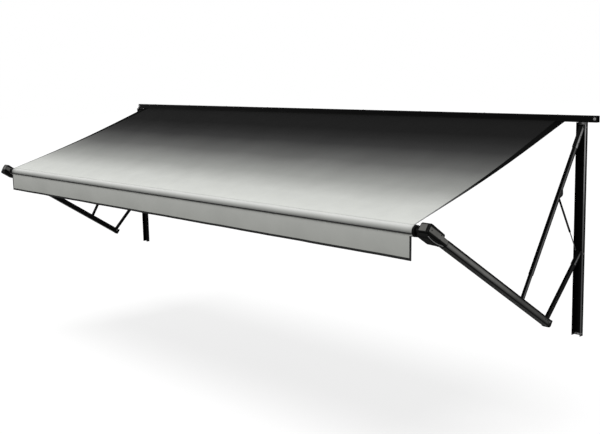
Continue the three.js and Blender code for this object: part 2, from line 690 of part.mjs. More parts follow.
// Roller tube: a thin tube with three keyhole grooves along it.
const rollerHalf = CANOPY_WIDTH / 2 + ROLLER_END;
const grooveAngles = [180 + ROLLER_GROOVE_ANGLE, 60, 300].map(radians);

function rollerTube() {
  const span = [-rollerHalf, rollerHalf];
  const long = beyond(span);
  const pocketAt = ROLLER_RADIUS - ROLLER_WALL - ROLLER_POCKET_RADIUS;
  const pocketWall = ROLLER_POCKET_RADIUS + ROLLER_WALL;
  const at = (angle) => [pocketAt * Math.cos(angle), pocketAt * Math.sin(angle)];
  const bosses = grooveAngles.map((angle) => crossBar(pocketWall, span, ...at(angle), BEAD_SIDES));
  const shell = cut(
    crossBar(ROLLER_RADIUS, span, 0, 0, TUBE_SIDES),
    crossBar(ROLLER_RADIUS - ROLLER_WALL, long, 0, 0, TUBE_SIDES),
  );
  const pockets = grooveAngles.map((angle) => crossBar(ROLLER_POCKET_RADIUS, long, ...at(angle), BEAD_SIDES));
  const slots = grooveAngles.map((angle) => {
    const slot = block(long, [pocketAt, ROLLER_RADIUS + CUT_OVER], [-GROOVE_SLOT / 2, GROOVE_SLOT / 2]);
    return slot.rotateX(angle);
  });
  return cut(join(shell, ...bosses), ...pockets, ...slots);
}

// Cloth wound on the tube, slit along the valance groove.
function rollerWrap() {
  const span = [-CANOPY_WIDTH / 2, CANOPY_WIDTH / 2];
  const long = beyond(span);
  const slit = block(long, [0, ROLLER_RADIUS * 2], [-WRAP_SLIT / 2, WRAP_SLIT / 2]).rotateX(grooveAngles[0]);
  return cut(
    crossBar(wrapRadius, span, 0, 0, TUBE_SIDES),
    crossBar(ROLLER_RADIUS + SEAT_GAP, long, 0, 0, TUBE_SIDES),
    slit,
  );
}

// Roller end cap: a plug, a flange and the shaft that runs in the head.
function rollerEndCap(outboard) {
  const tubeEnd = outboard * (rollerHalf + SEAT_GAP);
  const plugRadius = ROLLER_RADIUS - 2 * (ROLLER_WALL + ROLLER_POCKET_RADIUS) - ROLLER_WALL;
  const shaftEnd = outboard * (ARM_SPACING / 2 - shaftReach);
  const between = (a, b) => [Math.min(a, b), Math.max(a, b)];
  return join(
    crossBar(CAP_RADIUS, between(tubeEnd, tubeEnd + outboard * CAP_FLANGE), 0, 0, TUBE_SIDES),
    crossBar(plugRadius, between(tubeEnd - outboard * PLUG_LENGTH, tubeEnd + outboard), 0, 0, RING_SIDES),
    crossBar(SHAFT_RADIUS, between(tubeEnd, shaftEnd)),
  );
}

// Valance: a bead in its groove, a neck through the slot and the hanging cloth.
function valance() {
  const half = CANOPY_WIDTH / 2;
  const angle = grooveAngles[0];
  const pocketAt = ROLLER_RADIUS - ROLLER_WALL - ROLLER_POCKET_RADIUS;
  const lipAt = wrapRadius + VALANCE_THICKNESS / 2;
  const out = [lipAt * Math.cos(angle), lipAt * Math.sin(angle)];
  const bead = crossBar(
    CLOTH_BEAD_RADIUS, [-half, half], pocketAt * Math.cos(angle), pocketAt * Math.sin(angle), BEAD_SIDES,
  );
  const neck = block([-half, half], [pocketAt, lipAt], [-VALANCE_THICKNESS / 2, VALANCE_THICKNESS / 2]);
  const fold = crossBar(VALANCE_THICKNESS, [-half, half], out[0], out[1], BEAD_SIDES);
  const cloth = block(
    [-half, half],
    [out[0] - VALANCE_THICKNESS / 2, out[0] + VALANCE_THICKNESS / 2],
    [out[1] - VALANCE_DROP, out[1]],
  );
  return join(bead, neck.rotateX(angle), fold, cloth);
}

// Pieces fixed to the wall.
piece('awning_rail', awningRail(), blackPaint);
piece('canopy', canopy(), canopyCloth);

// The roller hangs between the two heads.
const roller = frameAt(0, rollerAxis, 0);
piece('roller_tube', rollerTube(), brightMetal, roller);
piece('roller_wrap', rollerWrap(), canopyCloth, roller);
piece('valance', valance(), valanceCloth, roller);

// One arm set at each end.
for (const [side, end] of [['right', 1], ['left', -1]]) {
  const x = end * ARM_SPACING / 2;
  const inboard = -end;

  const wall = frameAt(x, new THREE.Vector2(0, 0), 0);
  piece(`wall_channel_${side}`, wallChannel(), blackPaint, wall);
  piece(`top_plate_${side}`, screwPlate(CHANNEL_TOP), brightMetal, wall);
  piece(`bottom_plate_${side}`, screwPlate(CHANNEL_BOTTOM + PLATE_HEIGHT), brightMetal, wall);
  piece(`upper_pivot_bolt_${side}`, pivotBolt(CHANNEL_WIDTH), steel, frameAt(x, upperPivot, 0));
  piece(`lower_pivot_bolt_${side}`, pivotBolt(CHANNEL_WIDTH), steel, frameAt(x, lowerPivot, 0));

  const upper = frameAt(x, upperPivot, -upperAngle);
  const upperArm = armExtrusion(UPPER_ARM_LENGTH - UPPER_ARM_CUT, ARM_LIP);
  piece(`upper_arm_${side}`, upperArm, blackPaint, upper);
  piece(`upper_arm_hinge_${side}`, armHinge(UPPER_HINGE_LENGTH), greyPaint, upper);
  const bracket = piece(`strut_bracket_${side}`, strutBracket(inboard), greyPaint, upper);
  bracket.position.z = -STRUT_POSITION;
  piece(`inner_arm_${side}`, innerArm(), blackPaint, upper);

  const slider = frameAt(x, sliderPoint, mainTilt);
  piece(`arm_slider_${side}`, armSlider(), greyPaint, slider);
  const pinHalf = MAIN_INSIDE - SLIDE_GAP;
  piece(`slider_pin_${side}`, crossBar(SLIDER_PIN_RADIUS, [-pinHalf, pinHalf]), steel, slider);

  const lower = frameAt(x, lowerPivot, -lowAngle);
  piece(`lower_arm_${side}`, lowerArm(), blackPaint, lower);
  piece(`lower_arm_hinge_${side}`, armHinge(LOWER_HINGE_LENGTH), greyPaint, lower);

  const main = frameAt(x, elbow, mainTilt);
  piece(`main_arm_${side}`, mainArm(), greyPaint, main);
  piece(`main_arm_foot_${side}`, mainArmFoot(), greyPaint, main);
  piece(`main_arm_cap_${side}`, mainArmCap(), blackPlastic, main);
  piece(`elbow_bolt_${side}`, pivotBolt(MAIN_WIDTH), steel, main);
  piece(`head_housing_${side}`, headHousing(end), greyPaint, main);
  piece(`head_cover_${side}`, headCover(end), greyPaint, main);
  piece(`head_skirt_${side}`, headSkirt(), blackPlastic, main);
  piece(`roller_bearing_${side}`, rollerBearing(end), steel, main);
  if (side === 'right') piece('drive_motor', driveMotor(), blackPlastic, main);

  piece(`roller_end_cap_${side}`, rollerEndCap(end), blackPlastic, roller);

  const strutTop = upperPivot.clone()
    .add(new THREE.Vector2(STRUT_OFFSET, -STRUT_POSITION).rotateAround(new THREE.Vector2(), -upperAngle));
  const strutFoot = lowerPivot.clone().add(new THREE.Vector2(-STRUT_FOOT_SHIFT, STRUT_FOOT_RISE));
  const strutRun = strutFoot.clone().sub(strutTop);
  const strut = frameAt(x, strutTop, Math.atan2(strutRun.x, -strutRun.y));
  piece(`strut_cylinder_${side}`, strutCylinder(inboard, strutRun.length() - STRUT_ROD_REACH), blackPaint, strut);
  piece(`strut_rod_${side}`, strutRod(inboard, strutRun.length()), steel, strut);
}

export default awning;
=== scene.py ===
import json
import logging
import math
from dataclasses import dataclass, replace
from enum import Enum
from functools import reduce
from typing import Any, Sequence

import bpy
import numpy as np
from mathutils import Matrix, Vector


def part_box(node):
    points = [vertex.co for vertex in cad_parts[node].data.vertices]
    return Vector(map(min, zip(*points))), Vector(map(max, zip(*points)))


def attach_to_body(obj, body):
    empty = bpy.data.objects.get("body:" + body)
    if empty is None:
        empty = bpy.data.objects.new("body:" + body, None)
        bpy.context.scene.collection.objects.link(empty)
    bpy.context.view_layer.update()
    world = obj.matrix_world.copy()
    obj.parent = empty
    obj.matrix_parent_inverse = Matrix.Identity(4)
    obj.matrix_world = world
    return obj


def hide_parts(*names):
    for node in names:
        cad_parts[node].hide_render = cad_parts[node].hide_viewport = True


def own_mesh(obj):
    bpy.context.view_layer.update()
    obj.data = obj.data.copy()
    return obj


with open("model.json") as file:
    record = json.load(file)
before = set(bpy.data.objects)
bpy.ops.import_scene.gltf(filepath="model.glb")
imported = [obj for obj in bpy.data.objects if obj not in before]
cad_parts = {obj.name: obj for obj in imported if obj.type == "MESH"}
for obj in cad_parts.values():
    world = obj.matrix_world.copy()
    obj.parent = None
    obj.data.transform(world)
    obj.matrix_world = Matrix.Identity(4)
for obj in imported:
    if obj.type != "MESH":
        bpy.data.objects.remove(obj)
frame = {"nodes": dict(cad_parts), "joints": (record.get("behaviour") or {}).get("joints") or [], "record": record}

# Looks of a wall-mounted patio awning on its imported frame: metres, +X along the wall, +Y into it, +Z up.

LOG = logging.getLogger("awning")

Object = bpy.types.Object
Material = bpy.types.Material
Socket = bpy.types.NodeSocket
Pair = tuple[float, float]
Triple = tuple[float, float, float]
RGB = Triple
Stops = tuple[tuple[float, RGB], ...]
Face = Sequence[int]

WHITE: RGB = (1.0, 1.0, 1.0)
OUTWARD = (1.0, 0.0, 0.0)
DOWNWARD = (0.0, 0.0, -1.0)
SQUARE_ON = (0.93, 0.985)  # cosines over which a face comes to look one way


class Side(Enum):
    """The two ends of the awning, by the sign of X."""

    RIGHT = 1
    LEFT = -1

    @property
    def tag(self) -> str:
        """The side's name as it stands in the names of nodes and bodies."""
        return self.name.lower()


class Slot(Enum):
    """Material slots of the record."""

    BLACK_PAINT = "black_paint"
    GREY_PAINT = "grey_paint"
    BARE_ALUMINIUM = "bare_aluminium"
    STEEL = "steel"
    BLACK_PLASTIC = "black_plastic"
    CANOPY_CLOTH = "canopy_cloth"
    VALANCE_CLOTH = "valance_cloth"


def grey(level: float, warmth: float = 0.0, green: float = 0.0) -> RGB:
    """A grey by its display level.

    Args:
        level: display level from 0 to 255.
        warmth: share added to red and taken from blue.
        green: share added to green.

    Returns:
        The colour in linear light.
    """
    part = level / 255
    linear = part / 12.92 if part <= 0.04045 else ((part + 0.055) / 1.055) ** 2.4
    return (linear * (1 + warmth), linear * (1 + green), linear * (1 - warmth))


def tones(*stops: tuple[float, ...]) -> Stops:
    """Stops of a ramp, each given as its place, its grey's level and, where it is tinted, its warmth and green."""
    return tuple((place, grey(*tint)) for place, *tint in stops)


def dim(*stops: Pair) -> Stops:
    """Stops of a shade, each given as its place and the share of light that is left there."""
    return tuple((place, (share, share, share)) for place, share in stops)


def shifted(colour: RGB, factor: float, lift: float = 0.0) -> RGB:
    """A colour with every part multiplied and then lifted."""
    return tuple(part * factor + lift for part in colour)


def upright(pair: Sequence[float]) -> Triple:
    """A place or a way at X 0, from its Y and Z."""
    return (0.0, float(pair[0]), float(pair[1]))


# ---------------------------------------------------------------- node trees


class Graph:
    """A node tree with short methods for the nodes that the finishes and rows are wired from."""

    def __init__(self, tree: bpy.types.NodeTree) -> None:
        """Starts from an emptied tree."""
        self.tree = tree
        tree.nodes.clear()

    def node(self, kind: str, inputs: dict[int | str, Any] | None = None, **settings: Any) -> bpy.types.Node:
        """Adds a node.

        Args:
            kind: Blender's node type.
            inputs: sockets or plain values for its inputs, by number or name.
            settings: attributes set on the node.

        Returns:
            The new node.
        """
        made = self.tree.nodes.new(kind)
        for name, value in settings.items():
            setattr(made, name, value)
        for key, value in (inputs or {}).items():
            self.feed(made.inputs[key], value)
        return made

    def feed(self, socket: Socket, value: Any) -> None:
        """Links a socket into an input, or writes a constant on it.

        Args:
            socket: the input.
            value: an output socket or a plain value; a colour has three parts.
        """
        if isinstance(value, Socket):
            self.tree.links.new(value, socket)
        else:
            socket.default_value = (*value, 1.0) if socket.type == "RGBA" else value

    def math(self, operation: str, first: Any, second: Any = None, clamp: bool = False) -> Socket:
        """Adds a Math node on one or two values, clamped from 0 to 1 if asked."""
        inputs = {0: first} if second is None else {0: first, 1: second}
        return self.node("ShaderNodeMath", inputs, operation=operation, use_clamp=clamp).outputs[0]

    def product(self, *values: Any) -> Socket:
        """Multiplies two or more values."""
        return reduce(lambda far, near: self.math("MULTIPLY", near, far), reversed(values))

    def vector(self, operation: str, first: Any, second: Any) -> Socket:
        """Adds a Vector Math node.

        Args:
            operation: the node's operation.
            first: first vector or socket.
            second: second vector or socket, or the number that a SCALE takes.

        Returns:
            The result, which is a number for a DOT_PRODUCT.
        """
        made = self.node("ShaderNodeVectorMath", {0: first}, operation=operation)
        self.feed(made.inputs["Scale" if operation == "SCALE" else 1], second)
        return made.outputs["Value" if operation == "DOT_PRODUCT" else "Vector"]

    def split(self, vector: Any) -> Sequence[Socket]:
        """Takes a vector apart into X, Y and Z."""
        return self.node("ShaderNodeSeparateXYZ", {0: vector}).outputs

    def unsigned(self, vector: Any) -> Socket:
        """Takes the sign from a vector's X."""
        x, y, z = self.split(vector)
        return self.node("ShaderNodeCombineXYZ", {0: self.math("ABSOLUTE", x), 1: y, 2: z}).outputs[0]

    def span(self, value: Any, low: float, high: float, to_low: float, to_high: float) -> Socket:
        """Maps a value from the span low to high onto to_low to to_high, clamped."""
        return self.node("ShaderNodeMapRange", dict(enumerate((value, low, high, to_low, to_high)))).outputs[0]

    def noise(self, place: Any, scale: float, detail: float = 2.0, roughness: float = 0.5) -> Socket:
        """Adds noise from 0 to 1, with scale in features per metre and detail in octaves."""
        inputs = {"Vector": place, "Scale": scale, "Detail": detail, "Roughness": roughness}
        return self.node("ShaderNodeTexNoise", inputs).outputs[0]

    def blend(self, factor: Any, first: Any, second: Any) -> Socket:
        """Mixes two colours, with the factor as the share of the second."""
        return self.node("ShaderNodeMix", {0: factor, 6: first, 7: second}, data_type="RGBA").outputs[2]

    def ramp(self, value: Any, stops: Stops) -> Socket:
        """Adds a colour ramp.

        Args:
            value: where on the ramp, from 0 to 1.
            stops: places and colours in order.

        Returns:
            The colour.
        """
        made = self.node("ShaderNodeValToRGB", {0: value})
        points = made.color_ramp.elements
        while len(points) < len(stops):
            points.new(1.0)
        for point, (place, colour) in zip(points, stops):
            point.position = place
            point.color = (*colour, 1.0)
        return made.outputs[0]

    def bump(self, height: Any, distance: float, strength: float, below: Any = None) -> Socket:
        """Adds a bump whose height of 1 stands for a distance in metres, over the normal below it if there is one."""
        inputs = {"Distance": distance, "Strength": strength, "Height": height}
        return self.node("ShaderNodeBump", inputs if below is None else {**inputs, "Normal": below}).outputs[0]

    def rounded(self, radius: float) -> Socket:
        """The normal with its edges rounded to a radius."""
        return self.node("ShaderNodeBevel", {"Radius": radius}, samples=4).outputs[0]

    def surface(self, inputs: dict[int | str, Any]) -> None:
        """Ends a material in a principled shader with these inputs."""
        shader = self.node("ShaderNodeBsdfPrincipled", inputs)
        self.node("ShaderNodeOutputMaterial", {"Surface": shader.outputs[0]})


def new_material(name: str, coordinates: str = "Object") -> tuple[Material, Graph, Socket]:
    """Starts a material.

    Args:
        name: its name.
        coordinates: which texture coordinates it is laid by.

    Returns:
        The material, its nodes and its coordinates.
    """
    material = bpy.data.materials.new(name)
    material.use_nodes = True
    graph = Graph(material.node_tree)
    return material, graph, graph.node("ShaderNodeTexCoord").outputs[coordinates]


# ---------------------------------------------------------------- finishes


@dataclass(frozen=True)
class Facing:
    """Painted light on the faces that look one way: painted highlight and painted shade that change across them, and
    only between beyond and within along the wall.

    X is taken without its sign, as both ends match. With shade, the tone darkens what is under it.
    """

    look: Triple
    start: Triple
    across: Triple
    depth: float
    stops: Stops
    beyond: float = 0.0
    within: float = 10.0
    shade: bool = False

    def lay(self, graph: Graph, place: Socket, normal: Socket, under: Any) -> Socket:
        """Lays the painted light over a colour.

        Args:
            graph: the material's nodes.
            place: coordinates with X unsigned.
            normal: the face's normal with X unsigned.
            under: the colour beneath.

        Returns:
            The colour with the tone on it.
        """
        reach = graph.vector("DOT_PRODUCT", graph.vector("SUBTRACT", place, self.start), self.across)
        tone = graph.ramp(graph.math("DIVIDE", reach, self.depth), self.stops)
        if self.shade:
            tone = graph.vector("MULTIPLY", under, tone)
        x = graph.split(place)[0]
        far, near = graph.math("GREATER_THAN", x, self.beyond), graph.math("LESS_THAN", x, self.within)
        facing = graph.span(graph.vector("DOT_PRODUCT", normal, self.look), *SQUARE_ON, 0.0, 1.0)
        return graph.blend(graph.product(facing, far, near), under, tone)


@dataclass(frozen=True)
class PaintFinish:
    """Powder coat on metal: a fine grain, faint mottling, painted highlights and painted shade by facing, and bare
    metal along worn edges.
    """

    name: str
    colour: RGB
    roughness: float = 0.4
    gloss: float = 0.3
    wear: float = 0.35
    grain: float = 900.0
    edge: float = 0.0012
    bare: RGB = grey(150)
    painted_lights: tuple[Facing, ...] = ()

    def build(self) -> Material:
        """Builds the material.

        Returns:
            The material, under the finish's name.
        """
        material, graph, place = new_material(self.name)
        normal = graph.node("ShaderNodeNewGeometry").outputs["Normal"]
        colour_with_painted_light: Any = self.colour
        unsigned_place, unsigned_normal = graph.unsigned(place), graph.unsigned(normal)
        # Painted highlights and painted shade, laid face by face over the paint's own colour.
        for facing in self.painted_lights:
            colour_with_painted_light = facing.lay(graph, unsigned_place, unsigned_normal, colour_with_painted_light)
        mottle = graph.span(graph.noise(place, 9.0, 4.0, 0.6), 0.35, 0.7, 0.92, 1.16)
        rounded = graph.rounded(self.edge)
        corner = graph.span(graph.vector("DOT_PRODUCT", rounded, normal), 0.99, 0.86, 0.0, 1.0)
        patch = graph.span(graph.noise(place, 60.0, 5.0, 0.65), 0.5, 0.72, 0.0, self.wear)
        worn = graph.math("MULTIPLY", corner, patch, clamp=True)
        scuff = graph.noise(place, 34.0, 3.0, 0.7)
        graph.surface({
            "Base Color": graph.blend(worn, graph.vector("SCALE", colour_with_painted_light, mottle), self.bare),
            "Roughness": graph.span(scuff, 0.3, 0.75, self.roughness - 0.06, self.roughness + 0.12),
            "Specular IOR Level": self.gloss,
            "Normal": graph.bump(graph.noise(place, self.grain), 0.00012, 0.35, rounded),
        })
        return material


@dataclass(frozen=True)
class MetalFinish:
    """Bare or plated metal with fine drawn lines along X and a light haze."""

    name: str
    colour: RGB
    roughness: float = 0.32
    lines: float = 1400.0

    def build(self) -> Material:
        """Builds the material.

        Returns:
            The material, under the finish's name.
        """
        material, graph, place = new_material(self.name)
        drawn = graph.node("ShaderNodeMapping", {"Vector": place, "Scale": (0.02, 1.0, 1.0)}).outputs[0]
        haze = graph.noise(place, 22.0, 4.0, 0.6)
        graph.surface({
            "Base Color": graph.blend(haze, shifted(self.colour, 0.72), self.colour),
            "Metallic": 1.0,
            "Roughness": graph.span(haze, 0.25, 0.8, self.roughness - 0.05, self.roughness + 0.14),
            "Normal": graph.bump(graph.noise(drawn, self.lines, 3.0, 0.6), 0.00006, 0.4),
        })
        return material


@dataclass(frozen=True)
class PlasticFinish:
    """Moulded black plastic with a spark-eroded grain."""

    name: str
    colour: RGB
    roughness: float = 0.5
    gloss: float = 0.12
    edge: float = 0.0015
    grain: float = 750.0

    def build(self) -> Material:
        """Builds the material.

        Returns:
            The material, under the finish's name.
        """
        material, graph, place = new_material(self.name)
        fade = graph.noise(place, 14.0, 4.0, 0.6)
        cells = graph.node("ShaderNodeTexVoronoi", {"Vector": place, "Scale": self.grain}).outputs["Distance"]
        graph.surface({
            "Base Color": graph.blend(fade, self.colour, shifted(self.colour, 1.5, 0.003)),
            "Roughness": graph.span(fade, 0.3, 0.7, self.roughness, self.roughness + 0.12),
            "Specular IOR Level": self.gloss,
            "Normal": graph.bump(cells, 0.0001, 0.4, graph.rounded(self.edge)),
        })
        return material


@dataclass(frozen=True)
class ClothFinish:
    """Coated awning cloth. The UV map runs in metres: U along the wall, V down the cloth from the rail."""

    name: str
    stops: Stops
    length: float
    thread: float = 0.0013
    roughness: float = 0.7
    sheen: float = 0.01
    gloss: float = 0.05

    def build(self) -> Material:
        """Builds the material.

        Returns:
            The material, under the finish's name.
        """
        material, graph, chart = new_material(self.name, "UV")
        along, down, _ = graph.split(chart)
        drift = graph.math("MULTIPLY", graph.noise(chart, 1.6, 3.0), 0.05)
        share = graph.math("ADD", graph.math("DIVIDE", down, self.length), graph.math("SUBTRACT", drift, 0.025))
        slub = graph.span(graph.noise(chart, 420.0, 2.0, 0.7), 0.2, 0.8, 0.93, 1.05)
        weathered = graph.noise(chart, 5.0, 5.0, 0.62)
        tone = graph.math("ADD", slub, graph.span(weathered, 0.3, 0.7, -0.03, 0.03))
        turn = 2 * math.pi / self.thread
        warp, weft = (graph.math("SINE", graph.math("MULTIPLY", way, turn)) for way in (along, down))
        weave = graph.node("ShaderNodeMath", {0: graph.product(warp, weft), 1: 0.5, 2: 0.5}, operation="MULTIPLY_ADD")
        ripple = graph.bump(graph.noise(chart, 3.0, 3.0), 0.01, 0.12)
        graph.surface({
            "Base Color": graph.vector("SCALE", graph.ramp(share, self.stops), tone),
            "Normal": graph.bump(weave.outputs[0], 0.00016, 0.4, ripple),
            "Roughness": graph.span(weathered, 0.3, 0.7, self.roughness, self.roughness + 0.1),
            "Sheen Weight": self.sheen,
            "Sheen Roughness": 0.5,
            "Specular IOR Level": self.gloss,
        })
        return material


@dataclass(frozen=True)
class ThreadFinish:
    """Sewing thread or a plain binding with a twist in its bump."""

    name: str
    colour: RGB
    roughness: float = 0.7

    def build(self) -> Material:
        """Builds the material.

        Returns:
            The material, under the finish's name.
        """
        material, graph, place = new_material(self.name)
        fuzz = graph.noise(place, 1500.0, 2.0, 0.6)
        graph.surface({
            "Base Color": graph.blend(fuzz, self.colour, shifted(self.colour, 1.4, 0.004)),
            "Roughness": graph.span(fuzz, 0.3, 0.7, self.roughness, self.roughness + 0.15),
            "Normal": graph.bump(fuzz, 0.0001, 0.5),
        })
        return material


# ---------------------------------------------------------------- the part's layout


@dataclass(frozen=True)
class Layout:
    """Places that several sub-assemblies share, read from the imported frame's joints and boxes."""

    groove: Pair = (-0.0444, -0.0257)
    folded_axis: Pair = (-0.0970, -0.1230)
    cloth_radius: float = 0.0458
    fold_joint: str = "right_lower_fold"
    right_proud: float = 0.0095

    @property
    def roller_axis(self) -> Pair:
        """Y and Z of the roller's axis at rest."""
        joint = next(item for item in frame["joints"] if item["name"] == "roller_spin")
        return joint["pos_m"][1], joint["pos_m"][2]

    @property
    def half_width(self) -> float:
        """Half the canopy's width."""
        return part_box("canopy")[1].x

    @property
    def ends(self) -> Pair:
        """X of the cloth's two side edges."""
        low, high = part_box("canopy")
        return low.x, high.x + self.right_proud

    def middle(self, node: str) -> Pair:
        """Y and Z of the middle of a node's box."""
        low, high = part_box(node)
        return (low.y + high.y) / 2, (low.z + high.z) / 2

    def line(self, first: str, second: str) -> tuple[np.ndarray, np.ndarray, np.ndarray]:
        """The line from one pin to another.

        Args:
            first: node at the one pin.
            second: node at the other pin.

        Returns:
            Its start, its way and its upward normal, in Y and Z.
        """
        start, end = np.array(self.middle(first)), np.array(self.middle(second))
        way = (end - start) / np.linalg.norm(end - start)
        upper = np.array((way[1], -way[0]))
        return start, way, upper if upper[1] > 0 else -upper

    def reach(self, axis: Pair) -> tuple[np.ndarray, float]:
        """The straight run of cloth from the rail's groove over the top of the roller.

        Args:
            axis: Y and Z of the roller's axis.

        Returns:
            The run's direction in Y and Z, and its length.
        """
        to_axis = np.array(axis) - np.array(self.groove)
        far = float(np.hypot(*to_axis))
        length = math.sqrt(far**2 - self.cloth_radius**2)
        angle = math.atan2(to_axis[1], to_axis[0]) - math.asin(self.cloth_radius / far)
        return np.array((math.cos(angle), math.sin(angle))), length

    def fold(self, piece: Object) -> None:
        """Gives a piece of the canopy its own copy of its mesh.

        Args:
            piece: the cloth, or what is sewn on it.
        """
        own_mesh(piece)


# ---------------------------------------------------------------- meshes


def placed(name: str, data: bpy.types.ID) -> Object:
    """Makes an object from its data and links it into the scene.

    Args:
        name: the object's name.
        data: its mesh or light.

    Returns:
        The linked object.
    """
    made = bpy.data.objects.new(name, data)
    bpy.context.scene.collection.objects.link(made)
    return made


def mesh_object(name: str, points: np.ndarray, faces: Sequence[Face], smooth: bool = True) -> Object:
    """Makes a mesh object at the origin.

    Args:
        name: the object's name.
        points: vertices, in metres.
        faces: vertex indices of each face, outward.
        smooth: whether faces are shaded smooth.

    Returns:
        The linked object.
    """
    mesh = bpy.data.meshes.new(name)
    mesh.from_pydata([tuple(map(float, point)) for point in points], [], faces)
    mesh.polygons.foreach_set("use_smooth", [smooth] * len(mesh.polygons))
    mesh.update()
    return placed(name, mesh)


def chart_of(along: np.ndarray, down: np.ndarray) -> np.ndarray:
    """UV of a grid, with U by column and V by row."""
    return np.stack(np.broadcast_arrays(along[None, :], down[:, None]), axis=-1)


def thick_sheet(name: str, grid: np.ndarray, chart: np.ndarray, thickness: float) -> Object:
    """Makes a closed thin sheet round a middle surface.

    Args:
        name: the object's name.
        grid: middle surface, rows by columns by three; rows cross columns to point outwards.
        chart: UV of each grid point, rows by columns by two.
        thickness: the sheet's thickness.

    Returns:
        The linked object, with a UV map.
    """
    rows, columns = grid.shape[:2]
    normal = np.cross(np.gradient(grid, axis=1), np.gradient(grid, axis=0))
    normal /= np.maximum(np.linalg.norm(normal, axis=2, keepdims=True), 1e-12)
    points = np.vstack([(grid + normal * thickness / way).reshape(-1, 3) for way in (2, -2)])
    index = np.arange(rows * columns).reshape(rows, columns)
    quads = np.stack((index[:-1, :-1], index[:-1, 1:], index[1:, 1:], index[1:, :-1]), axis=-1).reshape(-1, 4)
    under = quads[:, ::-1] + index.size
    rim = np.concatenate((index[0], index[1:, -1], index[-1, -2::-1], index[-2:0:-1, 0]))
    after = np.roll(rim, -1)
    edge = np.stack((after, rim, rim + index.size, after + index.size), axis=-1)
    faces = np.vstack((np.stack((quads, under), axis=1).reshape(-1, 4), edge))
    made = mesh_object(name, points, faces.tolist())
    layer = made.data.uv_layers.new(name="UVMap")
    corners = np.empty(len(made.data.loops), dtype=np.int32)
    made.data.loops.foreach_get("vertex_index", corners)
    both = np.tile(chart.reshape(-1, 2), (2, 1))
    layer.data.foreach_set("uv", both[corners].astype(np.float32).ravel())
    return made


def circle(sides: int) -> np.ndarray:
    """Points round a circle of radius 1, one row each."""
    turns = np.linspace(0, 2 * math.pi, sides, endpoint=False)
    return np.column_stack((np.cos(turns), np.sin(turns)))


def band(first: int, second: int, sides: int) -> list[Face]:
    """Quads between two rings of vertices, by the number of each ring's first vertex."""
    return [(first + i, first + (i + 1) % sides, second + (i + 1) % sides, second + i) for i in range(sides)]


def lofted(name: str, rings: Sequence[np.ndarray]) -> Object:
    """Joins rings of points into a closed body.

    Args:
        name: the object's name.
        rings: the points of each ring.

    Returns:
        The linked object.
    """
    sides = len(rings[0])
    last = (len(rings) - 1) * sides
    faces = [quad for first in range(0, last, sides) for quad in band(first, first + sides, sides)]
    faces += [list(range(sides - 1, -1, -1)), list(range(last, last + sides))]
    return mesh_object(name, np.vstack(rings), faces)


def rod(name: str, radius: float, span: Pair, centre: Sequence[float], sides: int = 14) -> Object:
    """Makes a round rod along X, over a span in X and round a centre in Y and Z."""
    outline = np.array(centre) + radius * circle(sides)
    return lofted(name, [np.column_stack((np.full(sides, x), outline)) for x in span])


def ring(name: str, radii: Pair, span: Sequence[float], centre: np.ndarray, sides: int = 40) -> Object:
    """Makes a flat ring round an axis along X.

    Args:
        name: the object's name.
        radii: inner and outer radius.
        span: where it starts and ends in X.
        centre: Y and Z of its axis.
        sides: how many sides it has.

    Returns:
        The linked object.
    """
    corners = [(span[0], radii[0]), (span[1], radii[0]), (span[1], radii[1]), (span[0], radii[1])]
    points = np.vstack([np.column_stack((np.full(sides, x), centre + far * circle(sides))) for x, far in corners])
    count = len(corners)
    faces = [quad for corner in range(count) for quad in band((corner + 1) % count * sides, corner * sides, sides)]
    return mesh_object(name, points, faces, smooth=False)


def smoothed(path: np.ndarray, steps: int = 8) -> np.ndarray:
    """Runs a smooth curve through the points of a path.

    Args:
        path: points.
        steps: points on each stretch.

    Returns:
        The curve's points.
    """
    ends = np.vstack((2 * path[0] - path[1], path, 2 * path[-1] - path[-2]))
    shares = np.linspace(0, 1, steps, endpoint=False)[:, None]
    stretches = []
    for a, b, c, d in zip(ends, ends[1:], ends[2:], ends[3:]):
        curve = 2 * b + (c - a) * shares + (2 * a - 5 * b + 4 * c - d) * shares**2 + (3 * b - a - 3 * c + d) * shares**3
        stretches.append(curve / 2)
    return np.vstack((*stretches, path[-1:]))


def tube(name: str, path: np.ndarray, radius: float, sides: int = 10) -> Object:
    """Makes a closed round tube along a path that lies across X.

    Args:
        name: the object's name.
        path: points of its middle line.
        radius: its radius.
        sides: how many sides it has.

    Returns:
        The linked object.
    """
    way = np.gradient(path, axis=0)
    way /= np.linalg.norm(way, axis=1, keepdims=True)
    out, turns = np.array(OUTWARD), circle(sides)
    side = np.cross(way, out)
    rings = [
        point + radius * (turns[:, :1] * out + turns[:, 1:] * across)
        for point, across in zip(path, side)
    ]
    return lofted(name, rings)


def dress(piece: Object, material: Material) -> Object:
    """Gives a piece one material in place of what it has.

    Args:
        piece: the object.
        material: what it is made of.

    Returns:
        The same piece.
    """
    piece.data.materials.clear()
    piece.data.materials.append(material)
    return piece


def attach(piece: Object, body: str) -> Object:
    """Rides a piece on a body and logs it.

    Args:
        piece: the object, in place.
        body: the frame's body.

    Returns:
        The same object.
    """
    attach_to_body(piece, body)
    LOG.info("%s rides on %s, %d faces", piece.name, body, len(piece.data.polygons))
    return piece


def joined(name: str, parts: Sequence[Object]) -> Object:
    """Joins mesh objects that lie at the origin into one.

    Args:
        name: the result's name.
        parts: the objects, which are used up.

    Returns:
        The joined object.
    """
    bpy.ops.object.select_all(action="DESELECT")
    for part in parts:
        part.select_set(True)
    bpy.context.view_layer.objects.active = parts[0]
    bpy.ops.object.join()
    parts[0].name = parts[0].data.name = name
    return parts[0]


# ---------------------------------------------------------------- shapes made by geometry nodes


SOCKET_KINDS = {float: "NodeSocketFloat", int: "NodeSocketInt", tuple: "NodeSocketVector"}


